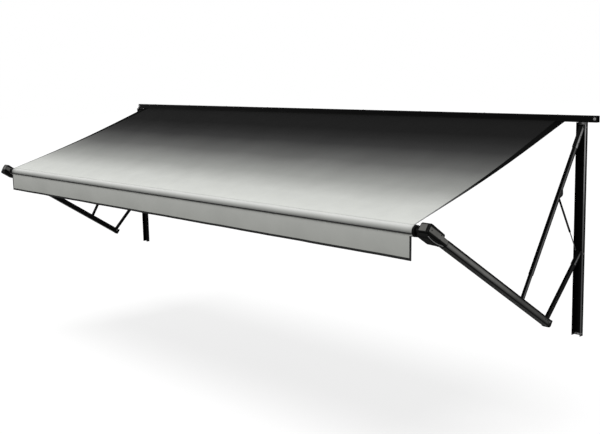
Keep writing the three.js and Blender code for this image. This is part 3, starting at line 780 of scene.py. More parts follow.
class RowTree:
    """Base of the geometry node trees, with named inputs and a material."""

    def __init__(self, name: str, inputs: dict[str, float | int | Triple]) -> None:
        """Starts the tree with its inputs.

        Args:
            name: the tree's name.
            inputs: what each named input is when nothing sets it.
        """
        self.tree = bpy.data.node_groups.new(name, "GeometryNodeTree")
        face = self.tree.interface
        for way in ("INPUT", "OUTPUT"):
            face.new_socket("Geometry", in_out=way, socket_type="NodeSocketGeometry")
        self.keys: dict[str, str] = {}
        for label, value in inputs.items():
            socket = face.new_socket(label, in_out="INPUT", socket_type=SOCKET_KINDS[type(value)])
            socket.default_value = value
            self.keys[label] = socket.identifier
        paint = face.new_socket("Material", in_out="INPUT", socket_type="NodeSocketMaterial")
        self.keys["Material"] = paint.identifier
        self.graph = Graph(self.tree)
        self.given = self.graph.node("NodeGroupInput").outputs

    def close(self, geometry: Socket) -> None:
        """Ends the tree in Realize Instances and Set Material.

        Args:
            geometry: what the tree made.
        """
        real = self.graph.node("GeometryNodeRealizeInstances", {0: geometry}).outputs[0]
        paint = self.graph.node("GeometryNodeSetMaterial", {"Geometry": real, "Material": self.given["Material"]})
        self.graph.node("NodeGroupOutput", {0: paint.outputs[0]})

    def run(self, carrier: Object, name: str, **values: Any) -> Object:
        """Runs the tree on a carrier and keeps the result as a plain mesh.

        Args:
            carrier: the object that the tree starts from, which is used up.
            name: the result's name.
            values: values of the named inputs, with _ for a space.

        Returns:
            The linked object.
        """
        modifier = carrier.modifiers.new("row", "NODES")
        modifier.node_group = self.tree
        for key, value in values.items():
            modifier[self.keys[key.replace("_", " ")]] = value
        graph = bpy.context.evaluated_depsgraph_get()
        mesh = bpy.data.meshes.new_from_object(carrier.evaluated_get(graph), depsgraph=graph)
        mesh.name = name
        bpy.data.objects.remove(carrier)
        return placed(name, mesh)


class TautCloth(RowTree):
    """Lets a flat carrier sag between the rail and the roller, with shallow ripples across it."""

    BELLY_POWER = 1.15
    HELD_POWER, HELD_SHARE = 8.0, 0.35
    LONG_PACE, LONG_DRIFT = 5.1, 1.3
    SHORT_PACE, SHORT_DRIFT, SHORT_START, SHORT_SHARE = 11.7, -2.1, 0.8, 0.6

    def __init__(self) -> None:
        """Builds the tree."""
        super().__init__("taut_cloth", {
            "Start": (0.0, 0.0, 0.0), "Way": (0.0, -1.0, 0.0), "Up": (0.0, 0.0, 1.0),
            "Length": 2.0, "Half Width": 3.0, "Sag": 0.034, "Ripple": 0.0016,
        })
        graph, given = self.graph, self.given
        position = graph.node("GeometryNodeInputPosition").outputs[0]
        reach = graph.vector("DOT_PRODUCT", graph.vector("SUBTRACT", position, given["Start"]), given["Way"])
        share = graph.math("DIVIDE", reach, given["Length"], clamp=True)
        half_turn = graph.math("SINE", graph.math("MULTIPLY", share, math.pi), clamp=True)
        belly = graph.math("POWER", half_turn, self.BELLY_POWER)
        along = graph.split(position)[0]
        across = graph.math("ABSOLUTE", graph.math("DIVIDE", along, given["Half Width"]))
        loose = graph.math("MULTIPLY", graph.math("POWER", across, self.HELD_POWER), self.HELD_SHARE)
        held = graph.math("SUBTRACT", 1.0, loose)
        slack = graph.product(given["Sag"], belly, held)
        long_phase = graph.math("MULTIPLY", share, self.LONG_DRIFT)
        short_phase = graph.math("ADD", graph.math("MULTIPLY", share, self.SHORT_DRIFT), self.SHORT_START)
        long_wave, short_wave = (
            graph.math("SINE", graph.math("ADD", graph.math("MULTIPLY", along, pace), phase))
            for pace, phase in ((self.LONG_PACE, long_phase), (self.SHORT_PACE, short_phase))
        )
        waves = graph.math("ADD", long_wave, graph.math("MULTIPLY", short_wave, self.SHORT_SHARE))
        lift = graph.product(given["Ripple"], belly, waves)
        push = graph.vector("SCALE", given["Up"], graph.math("SUBTRACT", lift, slack))
        moved = graph.node("GeometryNodeSetPosition", {"Geometry": given["Geometry"], "Offset": push})
        self.close(moved.outputs[0])


class StitchRow(RowTree):
    """Stitches laid end to end along the carrier's edges."""

    def __init__(self) -> None:
        """Builds the tree."""
        super().__init__("stitch_row", {
            "Pitch": 0.006, "Length": 0.0042, "Radius": 0.0005, "Jitter": 0.06, "Seed": 7,
        })
        graph, given = self.graph, self.given
        line = graph.node("GeometryNodeMeshToCurve", {0: given["Geometry"]}).outputs[0]
        even = graph.node("GeometryNodeResampleCurve", {"Curve": line, "Length": given["Pitch"]}, mode="LENGTH")
        ball = graph.node("GeometryNodeMeshIcoSphere", {"Radius": 1.0, "Subdivisions": 1}).outputs[0]
        radius, half = given["Radius"], graph.math("MULTIPLY", given["Length"], 0.5)
        size = graph.node("ShaderNodeCombineXYZ", {0: radius, 1: radius, 2: half}).outputs[0]
        stitch = graph.node("GeometryNodeTransform", {"Geometry": ball, "Scale": size})
        tangent = graph.node("GeometryNodeInputTangent").outputs[0]
        lay = graph.node("FunctionNodeAlignEulerToVector", {"Vector": tangent}, axis="Z")
        low, high = (graph.math(way, 1.0, given["Jitter"]) for way in ("SUBTRACT", "ADD"))
        wobble = graph.node("FunctionNodeRandomValue", {2: low, 3: high, "Seed": given["Seed"]}, data_type="FLOAT")
        spread = graph.node("GeometryNodeInstanceOnPoints", {
            "Points": even.outputs[0], "Instance": stitch.outputs[0],
            "Rotation": lay.outputs[0], "Scale": wobble.outputs[1],
        })
        self.close(spread.outputs[0])


class FastenerSet(RowTree):
    """Domed or six-sided heads on washers, one at each carrier point, along its facing attribute."""

    TAPER = 0.82
    WASHER_SIDES = 18

    def __init__(self) -> None:
        """Builds the tree."""
        super().__init__("fastener_set", {
            "Head Radius": 0.005, "Head Height": 0.003, "Head Sides": 16,
            "Washer Radius": 0.007, "Washer Height": 0.001, "Seed": 11,
        })
        graph, given = self.graph, self.given
        seat = given["Washer Height"]
        both = graph.node("GeometryNodeJoinGeometry")
        graph.feed(both.inputs[0], self.disc(given["Washer Radius"], seat, 0.0, self.WASHER_SIDES))
        graph.feed(both.inputs[0], self.disc(given["Head Radius"], given["Head Height"], seat, given["Head Sides"]))
        cloud = graph.node("GeometryNodeMeshToPoints", {0: given["Geometry"]})
        facing = graph.node("GeometryNodeInputNamedAttribute", {0: "facing"}, data_type="FLOAT_VECTOR").outputs[0]
        stand = graph.node("FunctionNodeAlignEulerToVector", {"Vector": facing}, axis="Z").outputs[0]
        turn = graph.node("FunctionNodeRandomValue", {2: 0.0, 3: math.pi, "Seed": given["Seed"]}, data_type="FLOAT")
        around = graph.node("ShaderNodeCombineXYZ", {2: turn.outputs[1]}).outputs[0]
        spun = graph.node(
            "FunctionNodeRotateEuler", {"Rotation": stand, "Rotate By": around}, rotation_type="EULER", space="LOCAL",
        )
        spread = graph.node("GeometryNodeInstanceOnPoints", {
            "Points": cloud.outputs[0], "Instance": both.outputs[0], "Rotation": spun.outputs[0],
        })
        self.close(spread.outputs[0])

    def disc(self, radius: Any, height: Any, base: Any, sides: Any) -> Socket:
        """Adds a slightly tapered disc that stands on a base height.

        Args:
            radius: its radius at the base.
            height: its height.
            base: where its foot is.
            sides: how many sides it has.

        Returns:
            The disc's geometry.
        """
        cone = self.graph.node("GeometryNodeMeshCone", {
            "Vertices": sides, "Radius Bottom": radius, "Depth": height,
            "Radius Top": self.graph.math("MULTIPLY", radius, self.TAPER),
        }, fill_type="NGON")
        lift = self.graph.node("ShaderNodeCombineXYZ", {2: base}).outputs[0]
        raised = {"Geometry": cone.outputs[0], "Translation": lift}
        return self.graph.node("GeometryNodeTransform", raised).outputs[0]


def carrier_of(points: Sequence[Sequence[float]], edges: Sequence[Face] = ()) -> Object:
    """Makes the bare points and edges that a row is laid on.

    Args:
        points: places in the world.
        edges: pairs of points that are joined.

    Returns:
        The carrier, without faces.
    """
    mesh = bpy.data.meshes.new("carrier")
    mesh.from_pydata([tuple(map(float, point)) for point in points], edges, [])
    return placed("carrier", mesh)


def line_carrier(points: Sequence[Sequence[float]]) -> Object:
    """Makes an edge line for a stitch row."""
    return carrier_of(points, [(i, i + 1) for i in range(len(points) - 1)])


# ---------------------------------------------------------------- the cloth


@dataclass(frozen=True)
class Canopy:
    """The taut cloth from the rail to the roller, with its bead, side bindings and stitching."""

    layout: Layout
    cloth: Material
    binding: Material
    thread: Material
    taut: TautCloth
    stitches: StitchRow
    thickness: float = 0.0012
    sag: float = 0.034
    ripple: float = 0.0016
    rows: int = 60
    columns: int = 181
    binding_wide: float = 0.095
    binding_narrow: float = 0.008
    binding_taper: float = 1.25
    binding_thickness: float = 0.0024
    binding_overlap: float = 0.0006
    binding_rows: int = 90
    binding_columns: int = 7
    bead_radius: float = 0.0034
    seam_inset: float = 0.0025
    seam_sunk: float = 0.0002
    seam_run: Pair = (0.01, 0.99)
    seam_points: int = 80

    def build(self) -> None:
        """Builds the cloth and what is sewn on it."""
        low, high = self.layout.ends
        length = self.layout.reach(self.layout.roller_axis)[1]
        share, along = np.linspace(0, 1, self.rows), np.linspace(low, high, self.columns)
        flat = self.flat(*np.broadcast_arrays(along[None, :], share[:, None]))
        carrier = thick_sheet("canopy_carrier", flat, chart_of(along, share * length), self.thickness)
        sheet = self.hang(carrier, "canopy_sheet", self.cloth)
        self.settle(sheet)
        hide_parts("canopy")

        bead = rod("canopy_bead", self.bead_radius, (low, high), self.layout.groove)
        attach(dress(bead, self.cloth), "wall_frame")
        sewn = [bead]
        for side in Side:
            sewn += [self.side_binding(side, length), self.side_stitches(side)]

    def flat(self, along: np.ndarray, share: np.ndarray, lift: float = 0.0) -> np.ndarray:
        """Points on the straight plane from the rail to the roller.

        Args:
            along: X of each point.
            share: how far down the cloth each point is, from 0 at the rail to 1 at the roller.
            lift: distance above the plane.

        Returns:
            The points.
        """
        way, length = self.layout.reach(self.layout.roller_axis)
        start, up = self.layout.groove, self.up(way)
        y, z = (start[i] + way[i] * length * share + up[i] * lift for i in range(2))
        return np.stack((along, y, z), axis=-1)

    def up(self, way: np.ndarray) -> np.ndarray:
        """The upward normal of the plane, in Y and Z."""
        return np.array((way[1], -way[0])) * (1 if way[0] < 0 else -1)

    def hang(self, carrier: Object, name: str, material: Material) -> Object:
        """Runs the sag over a flat carrier.

        Args:
            carrier: a sheet or the line of a seam, in the cloth's plane.
            name: the new piece's name.
            material: what it is made of.

        Returns:
            The sagging piece.
        """
        way, length = self.layout.reach(self.layout.roller_axis)
        return self.taut.run(
            carrier, name, Start=upright(self.layout.groove), Way=upright(way), Up=upright(self.up(way)),
            Length=length, Half_Width=self.layout.half_width, Sag=self.sag, Ripple=self.ripple, Material=material,
        )

    def settle(self, piece: Object) -> None:
        """Rides a piece of the canopy on the frame and gives it its own mesh."""
        attach(piece, "wall_frame")
        self.layout.fold(piece)

    def edge(self, side: Side) -> float:
        """How far out one side edge is."""
        return abs(self.layout.ends[side is Side.RIGHT])

    def binding_width(self, share: np.ndarray) -> np.ndarray:
        """Width of the side binding down the cloth."""
        return self.binding_narrow + (self.binding_wide - self.binding_narrow) * (1 - share) ** self.binding_taper

    def side_binding(self, side: Side, length: float) -> Object:
        """Builds the dark binding over one side edge.

        Args:
            side: which edge.
            length: the cloth's length down the slope.

        Returns:
            The binding.
        """
        share = np.repeat(np.linspace(0, 1, self.binding_rows)[:, None], self.binding_columns, axis=1)
        edge = self.edge(side) + self.binding_overlap
        inner = edge - self.binding_width(share)
        along = inner + (edge - inner) * np.linspace(0, 1, self.binding_columns)
        if side is Side.LEFT:
            along = -along[:, ::-1]
        chart = np.stack((along, share * length), axis=-1)
        carrier = thick_sheet("binding_carrier", self.flat(along, share), chart, self.binding_thickness)
        made = self.hang(carrier, f"canopy_binding_{side.tag}", self.binding)
        self.settle(made)
        return made

    def side_stitches(self, side: Side) -> Object:
        """Builds the stitching along one side binding.

        Args:
            side: which edge.

        Returns:
            The stitches.
        """
        share = np.linspace(*self.seam_run, self.seam_points)
        along = side.value * (self.edge(side) - self.binding_width(share) + self.seam_inset)
        seam = line_carrier(self.flat(along, share, self.binding_thickness / 2 - self.seam_sunk))
        line = self.hang(seam, "seam", self.thread)
        made = self.stitches.run(line, f"canopy_stitches_{side.tag}", Material=self.thread)
        self.settle(made)
        return made


@dataclass(frozen=True)
class RollerCloth:
    """Cloth wound on the roller, and the valance that hangs from the roller's groove."""

    layout: Layout
    cloth: Material
    valance: Material
    binding: Material
    thread: Material
    stitches: StitchRow
    # The welt is a cord, and its dark binding is also painted shadow along the seam.
    welt_angle: float = 196.0
    welt_radius: float = 0.0042
    welt_sunk: float = 0.0002
    groove_angle: float = 208.0
    slit: float = 11.0
    layer_radii: tuple[float, ...] = (0.0430, 0.0444)
    layer_thickness: float = 0.0012
    wrinkles: tuple[Triple, ...] = ((0.00025, 9.0, 3.0), (0.0002, 23.0, -2.0))
    layer_turns: int = 97
    layer_columns: int = 61
    neck: Pair = (0.0365, 0.0448)
    neck_rows: int = 5
    bend: float = 0.006
    bend_rows: int = 8
    drop_from: float = 0.0457
    drop: float = 0.187
    thickness: float = 0.0011
    bead_radius: float = 0.0034
    fold_depth: float = 0.0035
    fold_growth: float = 1.4
    fold_spread: float = 1.5
    folds: tuple[Triple, ...] = ((1.0, 7.3, 0.4), (0.55, 12.9, 1.9), (0.3, 23.0, 0.0))
    hem_height: float = 0.018
    hem_thickness: float = 0.0026
    hem_below: float = 0.0012
    seam_inset: float = 0.002
    hem_rows: int = 5
    side_hem: float = 0.018
    side_thickness: float = 0.0024
    side_overlap: float = 0.0006
    side_columns: int = 4
    rows: int = 34
    columns: int = 301

    def build(self) -> None:
        """Builds the wound cloth and the valance."""
        self.wound()
        self.hanging()

    def wound(self) -> None:
        """Builds the layers round the tube, open along the valance's groove."""
        axis = self.layout.roller_axis
        low, high = self.layout.ends
        start, stop = self.groove_angle + self.slit, self.groove_angle - self.slit + 360
        turns = np.radians(np.linspace(start, stop, self.layer_turns))
        along = np.linspace(low, high, self.layer_columns)
        turn, across = np.meshgrid(turns, along, indexing="ij")
        wrinkle = sum(high * np.sin(across * pace + turn * drift) for high, pace, drift in self.wrinkles)
        shells = []
        for number, radius in enumerate(self.layer_radii):
            far = radius + wrinkle * (number == len(self.layer_radii) - 1)
            grid = np.stack((across, axis[0] + far * np.cos(turn), axis[1] + far * np.sin(turn)), axis=-1)
            chart = chart_of(along, radius * (turns[-1] - turns))
            shells.append(thick_sheet(f"layer_{number}", grid[::-1], chart[::-1], self.layer_thickness))
        made = attach(dress(joined("roller_cloth", shells), self.cloth), "roller")
        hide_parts("roller_wrap")
        welt = self.seam_welt_and_shadow()

    def seam_welt_and_shadow(self) -> Object:
        """Builds the welt cord along the roll, just above the valance, made dark so that it is also painted shadow
        along the seam.

        Returns:
            The welt.
        """
        axis, turn = self.layout.roller_axis, math.radians(self.welt_angle)
        far = self.layer_radii[-1] + self.layer_thickness / 2 + self.welt_radius - self.welt_sunk
        centre = (axis[0] + far * math.cos(turn), axis[1] + far * math.sin(turn))
        welt = rod("roller_welt_and_seam_shadow", self.welt_radius, self.layout.ends, centre)
        return attach(dress(welt, self.binding), "roller")

    def profile(self) -> np.ndarray:
        """Traces the valance in Y and Z: out of the groove, over its lip and straight down.

        Returns:
            The line's points.
        """
        axis = np.array(self.layout.roller_axis)
        angle = math.radians(self.groove_angle)
        out = np.array((math.cos(angle), math.sin(angle)))
        neck = [axis + out * far for far in np.linspace(*self.neck, self.neck_rows)]
        corner = [
            neck[-1] + self.bend * np.array((math.sin(turn) - math.sin(angle), math.cos(angle) - math.cos(turn)))
            for turn in np.linspace(angle, math.radians(270), self.bend_rows + 1)[1:]
        ]
        foot = axis[1] + self.drop_from * math.sin(angle) - self.drop
        fall = [np.array((corner[-1][0], z)) for z in np.linspace(corner[-1][1], foot, self.rows)[1:]]
        return np.array(neck + corner + fall)

    def hung(self, along: np.ndarray, line: np.ndarray, down: np.ndarray, lift: float = 0.0) -> np.ndarray:
        """Points on the valance, with folds that grow towards its foot.

        Args:
            along: X of each column.
            line: Y and Z of each row.
            down: how far down the drop each row is, from 0 to 1.
            lift: distance in front of the cloth.

        Returns:
            The points, rows by columns.
        """
        wave = sum(high * np.sin(along * pace + begin) for high, pace, begin in self.folds)
        push = self.fold_depth * down[:, None] ** self.fold_growth * wave / self.fold_spread
        y = line[:, :1] - lift + push
        return np.stack(np.broadcast_arrays(along, y, line[:, 1:]), axis=-1)

    def hanging(self) -> None:
        """Builds the valance, its bead, hems and stitching."""
        low, high = self.layout.ends
        line = self.profile()
        steps = np.concatenate(((0.0,), np.cumsum(np.linalg.norm(np.diff(line, axis=0), axis=1))))
        top, foot = line[self.neck_rows + self.bend_rows - 1, 1], line[-1, 1]
        along = np.linspace(low, high, self.columns)
        fall = np.clip((top - line[:, 1]) / (top - foot), 0, 1)
        cloth = thick_sheet("valance_sheet", self.hung(along, line, fall), chart_of(along, steps), self.thickness)
        sheet = self.sewn(cloth, self.valance)
        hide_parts("valance")
        bead = self.sewn(rod("valance_bead", self.bead_radius, (low, high), line[0]), self.valance)

        levels = np.linspace(foot + self.hem_height, foot - self.hem_below, self.hem_rows)
        rows = np.column_stack((np.full(self.hem_rows, line[-1, 0]), levels))
        grid = self.hung(along, rows, (top - levels) / (top - foot))
        hem = self.sewn(thick_sheet("valance_hem", grid, chart_of(along, levels), self.hem_thickness), self.binding)
        sides = [self.side_strip(side, line, fall) for side in Side]

        seam = foot + self.hem_height - self.seam_inset
        share = np.array([(top - seam) / (top - foot)])
        stitched = self.hung(along, np.array([(line[-1, 0], seam)]), share, self.hem_thickness / 2)[0]
        row = self.stitches.run(line_carrier(stitched), "valance_stitches", Material=self.thread)
        attach(row, "roller")

    def sewn(self, piece: Object, material: Material) -> Object:
        """Dresses a piece of the valance and rides it on the roller."""
        return attach(dress(piece, material), "roller")

    def side_strip(self, side: Side, line: np.ndarray, fall: np.ndarray) -> Object:
        """Builds the binding down one side of the valance.

        Args:
            side: which side.
            line: the valance's profile.
            fall: how far down the drop each of its points is.

        Returns:
            The binding.
        """
        edge = abs(self.layout.ends[side is Side.RIGHT])
        along = np.linspace(edge - self.side_hem, edge + self.side_overlap, self.side_columns)
        if side is Side.LEFT:
            along = -along[::-1]
        kept = slice(self.neck_rows + self.bend_rows, None)
        grid = self.hung(along, line[kept], fall[kept])
        strip = thick_sheet(f"valance_side_{side.tag}", grid, chart_of(along, line[kept, 1]), self.side_thickness)
        return self.sewn(strip, self.binding)


# ---------------------------------------------------------------- metalwork


@dataclass(frozen=True)
class Metalwork:
    """Finishes of the frame's own nodes: by the record's slots, and by piece where painted highlights and painted shade
    are laid on its sides.
    """

    finishes: dict[Slot, Material]
    painted_light_paints: dict[str, Material]

    def build(self) -> None:
        """Paints every node."""
        for entry in frame["record"]["subparts"]:
            node = frame["nodes"][entry["node"]]
            slot = Slot(entry["material_slot"])
            piece = entry["node"].removesuffix("_right").removesuffix("_left")
            dress(node, self.painted_light_paints.get(piece, self.finishes[slot]))
            LOG.info("%s is finished as %s", node.name, slot.value)


@dataclass(frozen=True)
class PaintedLightPaints:
    """Paints with painted light: painted highlights and painted shade across the sides of the extrusions and on the
    facets of the heads, and painted shade down the channels and along the main arms.
    """

    layout: Layout
    black: PaintFinish
    skin: float = 0.001
    channel_depth: float = 0.046
    upper_pins: tuple[str, str] = ("upper_pivot_bolt_right", "slider_pin_right")
    lower_pins: tuple[str, str] = ("lower_pivot_bolt_right", "elbow_bolt_right")
    main_pins: tuple[str, str] = ("elbow_bolt_right", "roller_bearing_right")
    arm_side: Pair = (0.015, 0.030)
    cheek_side: Pair = (0.017, 0.036)
    main_side: Pair = (0.022, 0.056)
    head_side: Pair = (0.048, 0.084)
    nose_from: float = 0.085
    nose_to: float = 0.025
    tail: float = 0.03
    height_reach: float = 1.2
    length_reach: float = 1.6
    under_reach: float = 10.0
    # Painted highlight: a lit strip down the channel's outer side, with painted shade along its front and rear edges.
    channel_tones: Stops = tones((0.0, 20), (0.08, 125), (0.2, 184), (0.36, 170), (0.46, 30), (0.54, 3))
    # Painted highlight: a lit strip along the outer sides of the upper and inner arms, dark at both edges.
    strip_tones: Stops = tones((0.0, 4), (0.1, 80), (0.35, 104), (0.6, 76), (0.74, 8), (1.0, 3))
    # Painted highlight on the outer cheeks of the upper and lower hinges, fainter on the lower ones.
    cheek_tones: Stops = tones((0.0, 60), (0.15, 165), (0.5, 188), (0.7, 60), (1.0, 5))
    low_cheek_tones: Stops = tones((0.0, 30), (0.15, 110), (0.45, 128), (0.6, 30), (1.0, 5))
    # A faint painted highlight at the lower arm's upper edge, fading to black across its outer side.
    lower_tones: Stops = tones((0.0, 16), (1.0, 4))
    # Painted highlight: a lit band across the middle of the main arm's outer side, with painted shade at its edges.
    main_tones: Stops = tones(
        (0.0, 4), (0.2, 6), (0.28, 106, 0.02, 0.02), (0.5, 132, 0.02, 0.02), (0.7, 104, 0.02, 0.02), (0.85, 60),
        (1.0, 20),
    )
    # Painted shade: the main arm's underside, darker than its lit outer side.
    under_tones: Stops = tones((0.0, 50, 0.02, 0.02), (1.0, 50, 0.02, 0.02))
    # Painted highlights on the heads' outer facet, nose facet and boss, with painted shade at their edges.
    head_tones: Stops = tones((0.0, 4), (0.27, 6), (0.33, 110, 0.03, 0.02), (0.7, 116, 0.03, 0.02), (0.78, 8), (1.0, 6))
    nose_tones: Stops = tones(
        (0.0, 4), (0.17, 6), (0.22, 100, 0.03, 0.02), (0.78, 106, 0.03, 0.02), (0.84, 10), (1.0, 5),
    )
    boss_tones: Stops = tones((0.0, 5), (0.5, 26), (1.0, 5))
    height_shade: Stops = dim((0.0, 1.0), (0.35, 1.0), (0.6, 0.5), (0.9, 0.24))
    length_shade: Stops = dim((0.0, 0.05), (0.014, 0.05), (0.03, 0.4), (0.3, 0.42), (0.42, 0.66), (0.58, 1.0))

    def across(self, pins: tuple[str, str], side: Pair, beyond: float, stops: Stops) -> Facing:
        """Lays painted highlight and painted shade across the sides of a piece that runs from one pin to another.

        Args:
            pins: the nodes at its two pins.
            side: how far above the pins' line the upper edge is, and the depth of the side.
            beyond: X that the outer sides lie beyond.
            stops: tones from the upper or front edge to the other.

        Returns:
            The tone.
        """
        start, _, upper = self.layout.line(*pins)
        rise, depth = side
        return Facing(OUTWARD, upright(start + upper * rise), upright(-upper), depth, stops, beyond)

    def flank(self, node: str) -> float:
        """X just inside the outer side of a piece at the right end."""
        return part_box(node)[1].x - self.skin

    def build(self) -> dict[str, Material]:
        """Builds the paints with painted light.

        Returns:
            Each by the name of the piece that it is on, without its side.
        """
        wall = self.flank("wall_channel_right")
        channel = Facing(OUTWARD, (0.0, -self.channel_depth, 0.0), (0.0, 1.0, 0.0), self.channel_depth,
                         self.channel_tones, wall)
        height = Facing(OUTWARD, (0.0, 0.0, 0.0), DOWNWARD, self.height_reach, self.height_shade, shade=True)
        arm, inner = self.flank("upper_arm_right"), self.flank("inner_arm_right")
        cheek = arm + self.skin
        elbow, way, upper = self.layout.line(*self.main_pins)
        run = upright(way)
        main = self.across(self.main_pins, self.main_side, self.flank("main_arm_right"), self.main_tones)
        underside = Facing(upright(-upper), (0.0, 0.0, 0.0), OUTWARD, self.under_reach, self.under_tones)
        end = upright(elbow - way * self.tail)
        length = Facing(OUTWARD, end, run, self.length_reach, self.length_shade, shade=True)
        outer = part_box("head_cover_right")[1].x
        facet = self.across(self.main_pins, self.head_side, 0.0, self.head_tones)
        nose_start = outer - self.nose_from
        nose = replace(facet, look=run, stops=self.nose_tones, beyond=nose_start, within=outer - self.nose_to)
        boss = replace(facet, look=run, stops=self.boss_tones, within=nose_start)
        grades = {
            "wall_channel": (channel, height),
            "upper_arm": (self.across(self.upper_pins, self.arm_side, arm, self.strip_tones),),
            "inner_arm": (self.across(self.upper_pins, self.arm_side, inner, self.strip_tones),),
            "lower_arm": (self.across(self.lower_pins, self.arm_side, arm, self.lower_tones),),
            "upper_arm_hinge": (self.across(self.upper_pins, self.cheek_side, cheek, self.cheek_tones),),
            "lower_arm_hinge": (self.across(self.lower_pins, self.cheek_side, cheek, self.low_cheek_tones),),
            "main_arm": (main, underside, length),
            "head_housing": (facet, nose, boss),
            "head_cover": (facet, nose),
        }
        return {
            piece: replace(self.black, name=f"{piece}_paint", painted_lights=painted_lights).build()
            for piece, painted_lights in grades.items()
        }


@dataclass(frozen=True)
class Head:
    """Size of a screw or rivet head on its washer."""

    radius: float
    height: float
    washer: float
    sides: int = 16


@dataclass(frozen=True)
class Fixings:
    """Screws, washers and rivets of the rail, the channels, the hinges and the heads."""

    layout: Layout
    bright: Material
    dark: Material
    fasteners: FastenerSet
    rail_end_head: Head = Head(0.0062, 0.0042, 0.0125, sides=6)
    rail_top_head: Head = Head(0.0040, 0.0022, 0.0060)
    channel_head: Head = Head(0.0036, 0.0022, 0.0052)
    hinge_rivet: Head = Head(0.0034, 0.0016, 0.0044)
    cover_head: Head = Head(0.0036, 0.0016, 0.0050)
    foot_rivet: Head = Head(0.0036, 0.0018, 0.0048)
    rail_front: float = -0.0400
    rail_end_height: float = -0.005
    rail_end_insets: Pair = (0.020, 0.022)
    rail_top_line: float = -0.020
    rail_top_count: int = 9
    channel_line: float = -0.030
    channel_insets: Pair = (0.020, 0.012)
    cheek_proud: float = 0.0023
    upper_rivets: Pair = (0.085, 0.150)
    lower_rivets: Pair = (0.060, 0.100)
    foot_rivets: Pair = (0.030, 0.062)
    cover_spots: tuple[Pair, ...] = ((0.050, 0.004), (-0.062, 0.018), (-0.062, -0.016))
    # Painted highlight: a bright trim bowed along the rounded underside of each head's skirt.
    highlight_trim_bow: tuple[Pair, ...] = (
        (0.066, -0.049), (0.030, -0.0545), (-0.010, -0.0565), (-0.050, -0.0545), (-0.088, -0.0475), (-0.118, -0.041),
    )
    highlight_trim_radius: float = 0.0022
    # A collar beside each head, bright so that it is also a painted highlight at the head's inner edge.
    collar_width: float = 0.0070
    collar_gap: float = 0.0002
    collar_radii: Pair = (0.0302, 0.0345)

    def build(self) -> None:
        """Places every set on the body that it holds."""
        low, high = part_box("awning_rail")
        near, far = self.rail_end_insets
        ends = [(x, self.rail_front, self.rail_end_height) for x in (high.x - far, low.x + near)]
        self.place("rail_end_screws", "wall_frame", ends, (0, -1, 0), self.bright, self.rail_end_head)
        step = (high.x - low.x) / self.rail_top_count
        top = [(low.x + step * (number + 0.5), self.rail_top_line, high.z) for number in range(self.rail_top_count)]
        self.place("rail_top_screws", "wall_frame", top, (0, 0, 1), self.dark, self.rail_top_head)
        for side in Side:
            self.on_side(side)
            self.on_head(side)

    def on_side(self, side: Side) -> None:
        """Places the sets on one end's channel and hinges.

        Args:
            side: which end.
        """
        low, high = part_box("wall_channel_right")
        out = (side.value, 0, 0)
        bottom, top = self.channel_insets
        marks = [(side.value * high.x, self.channel_line, z) for z in (high.z - top, low.z + bottom)]
        self.place(f"channel_screws_{side.tag}", "wall_frame", marks, out, self.bright, self.channel_head)
        cheek = side.value * (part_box("upper_arm_right")[1].x + self.cheek_proud)
        for level, pin, distances in (
            ("upper", "slider_pin_right", self.upper_rivets), ("lower", "elbow_bolt_right", self.lower_rivets),
        ):
            start, way, _ = self.layout.line(f"{level}_pivot_bolt_right", pin)
            rivets = [(cheek, *(start + way * far)) for far in distances]
            name, body = f"{level}_hinge_rivets_{side.tag}", f"{side.tag}_{level}"
            self.place(name, body, rivets, out, self.dark, self.hinge_rivet)

    def on_head(self, side: Side) -> None:
        """Places the sets, the collar and the trim on one end's main arm and head. The bright trim along the skirt's
        rounded underside is a painted highlight, and the bright collar beside the head is a collar that is also a
        painted highlight at the head's inner edge.

        Args:
            side: which end.
        """
        out, body = (side.value, 0, 0), f"{side.tag}_main"
        start, way, upper = self.layout.line("elbow_bolt_right", "roller_bearing_right")
        axis = np.array(self.layout.middle("roller_bearing_right"))
        face, edge, flank = (
            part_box(node)[1].x * side.value for node in ("head_cover_right", "head_skirt_right", "main_arm_right")
        )
        spots = [(face, *(axis + way * ahead + upper * above)) for ahead, above in self.cover_spots]
        self.place(f"head_screws_{side.tag}", body, spots, out, self.dark, self.cover_head)
        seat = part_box("head_skirt_right")[0].x
        span = sorted(side.value * (seat - gap) for gap in (self.collar_width, self.collar_gap))
        collar = ring(f"boss_collar_{side.tag}", self.collar_radii, span, axis)
        attach(dress(collar, self.bright), body)
        path = np.array([(edge, *(axis + way * ahead + upper * above)) for ahead, above in self.highlight_trim_bow])
        trim = tube(f"skirt_trim_{side.tag}", smoothed(path), self.highlight_trim_radius)
        attach(dress(trim, self.bright), body)
        rivets = [(flank, *(start + way * far)) for far in self.foot_rivets]
        self.place(f"foot_rivets_{side.tag}", body, rivets, out, self.dark, self.foot_rivet)

    def place(
        self, name: str, body: str, spots: Sequence[Sequence[float]], facing: tuple[int, int, int],
        finish: Material, head: Head,
    ) -> None:
        """Places one set of heads on washers.

        Args:
            name: the set's name.
            body: the body that it rides on.
            spots: the middle of each washer's seat.
            facing: the way the heads look.
            finish: their finish.
            head: their size.
        """
        carrier = carrier_of(spots)
        ways = carrier.data.attributes.new("facing", "FLOAT_VECTOR", "POINT")
        ways.data.foreach_set("vector", [float(part) for part in facing] * len(spots))
        made = self.fasteners.run(
            carrier, name, Head_Radius=head.radius, Head_Height=head.height, Head_Sides=head.sides,
            Washer_Radius=head.washer, Material=finish,
        )
        attach(made, body)


# ---------------------------------------------------------------- the studio


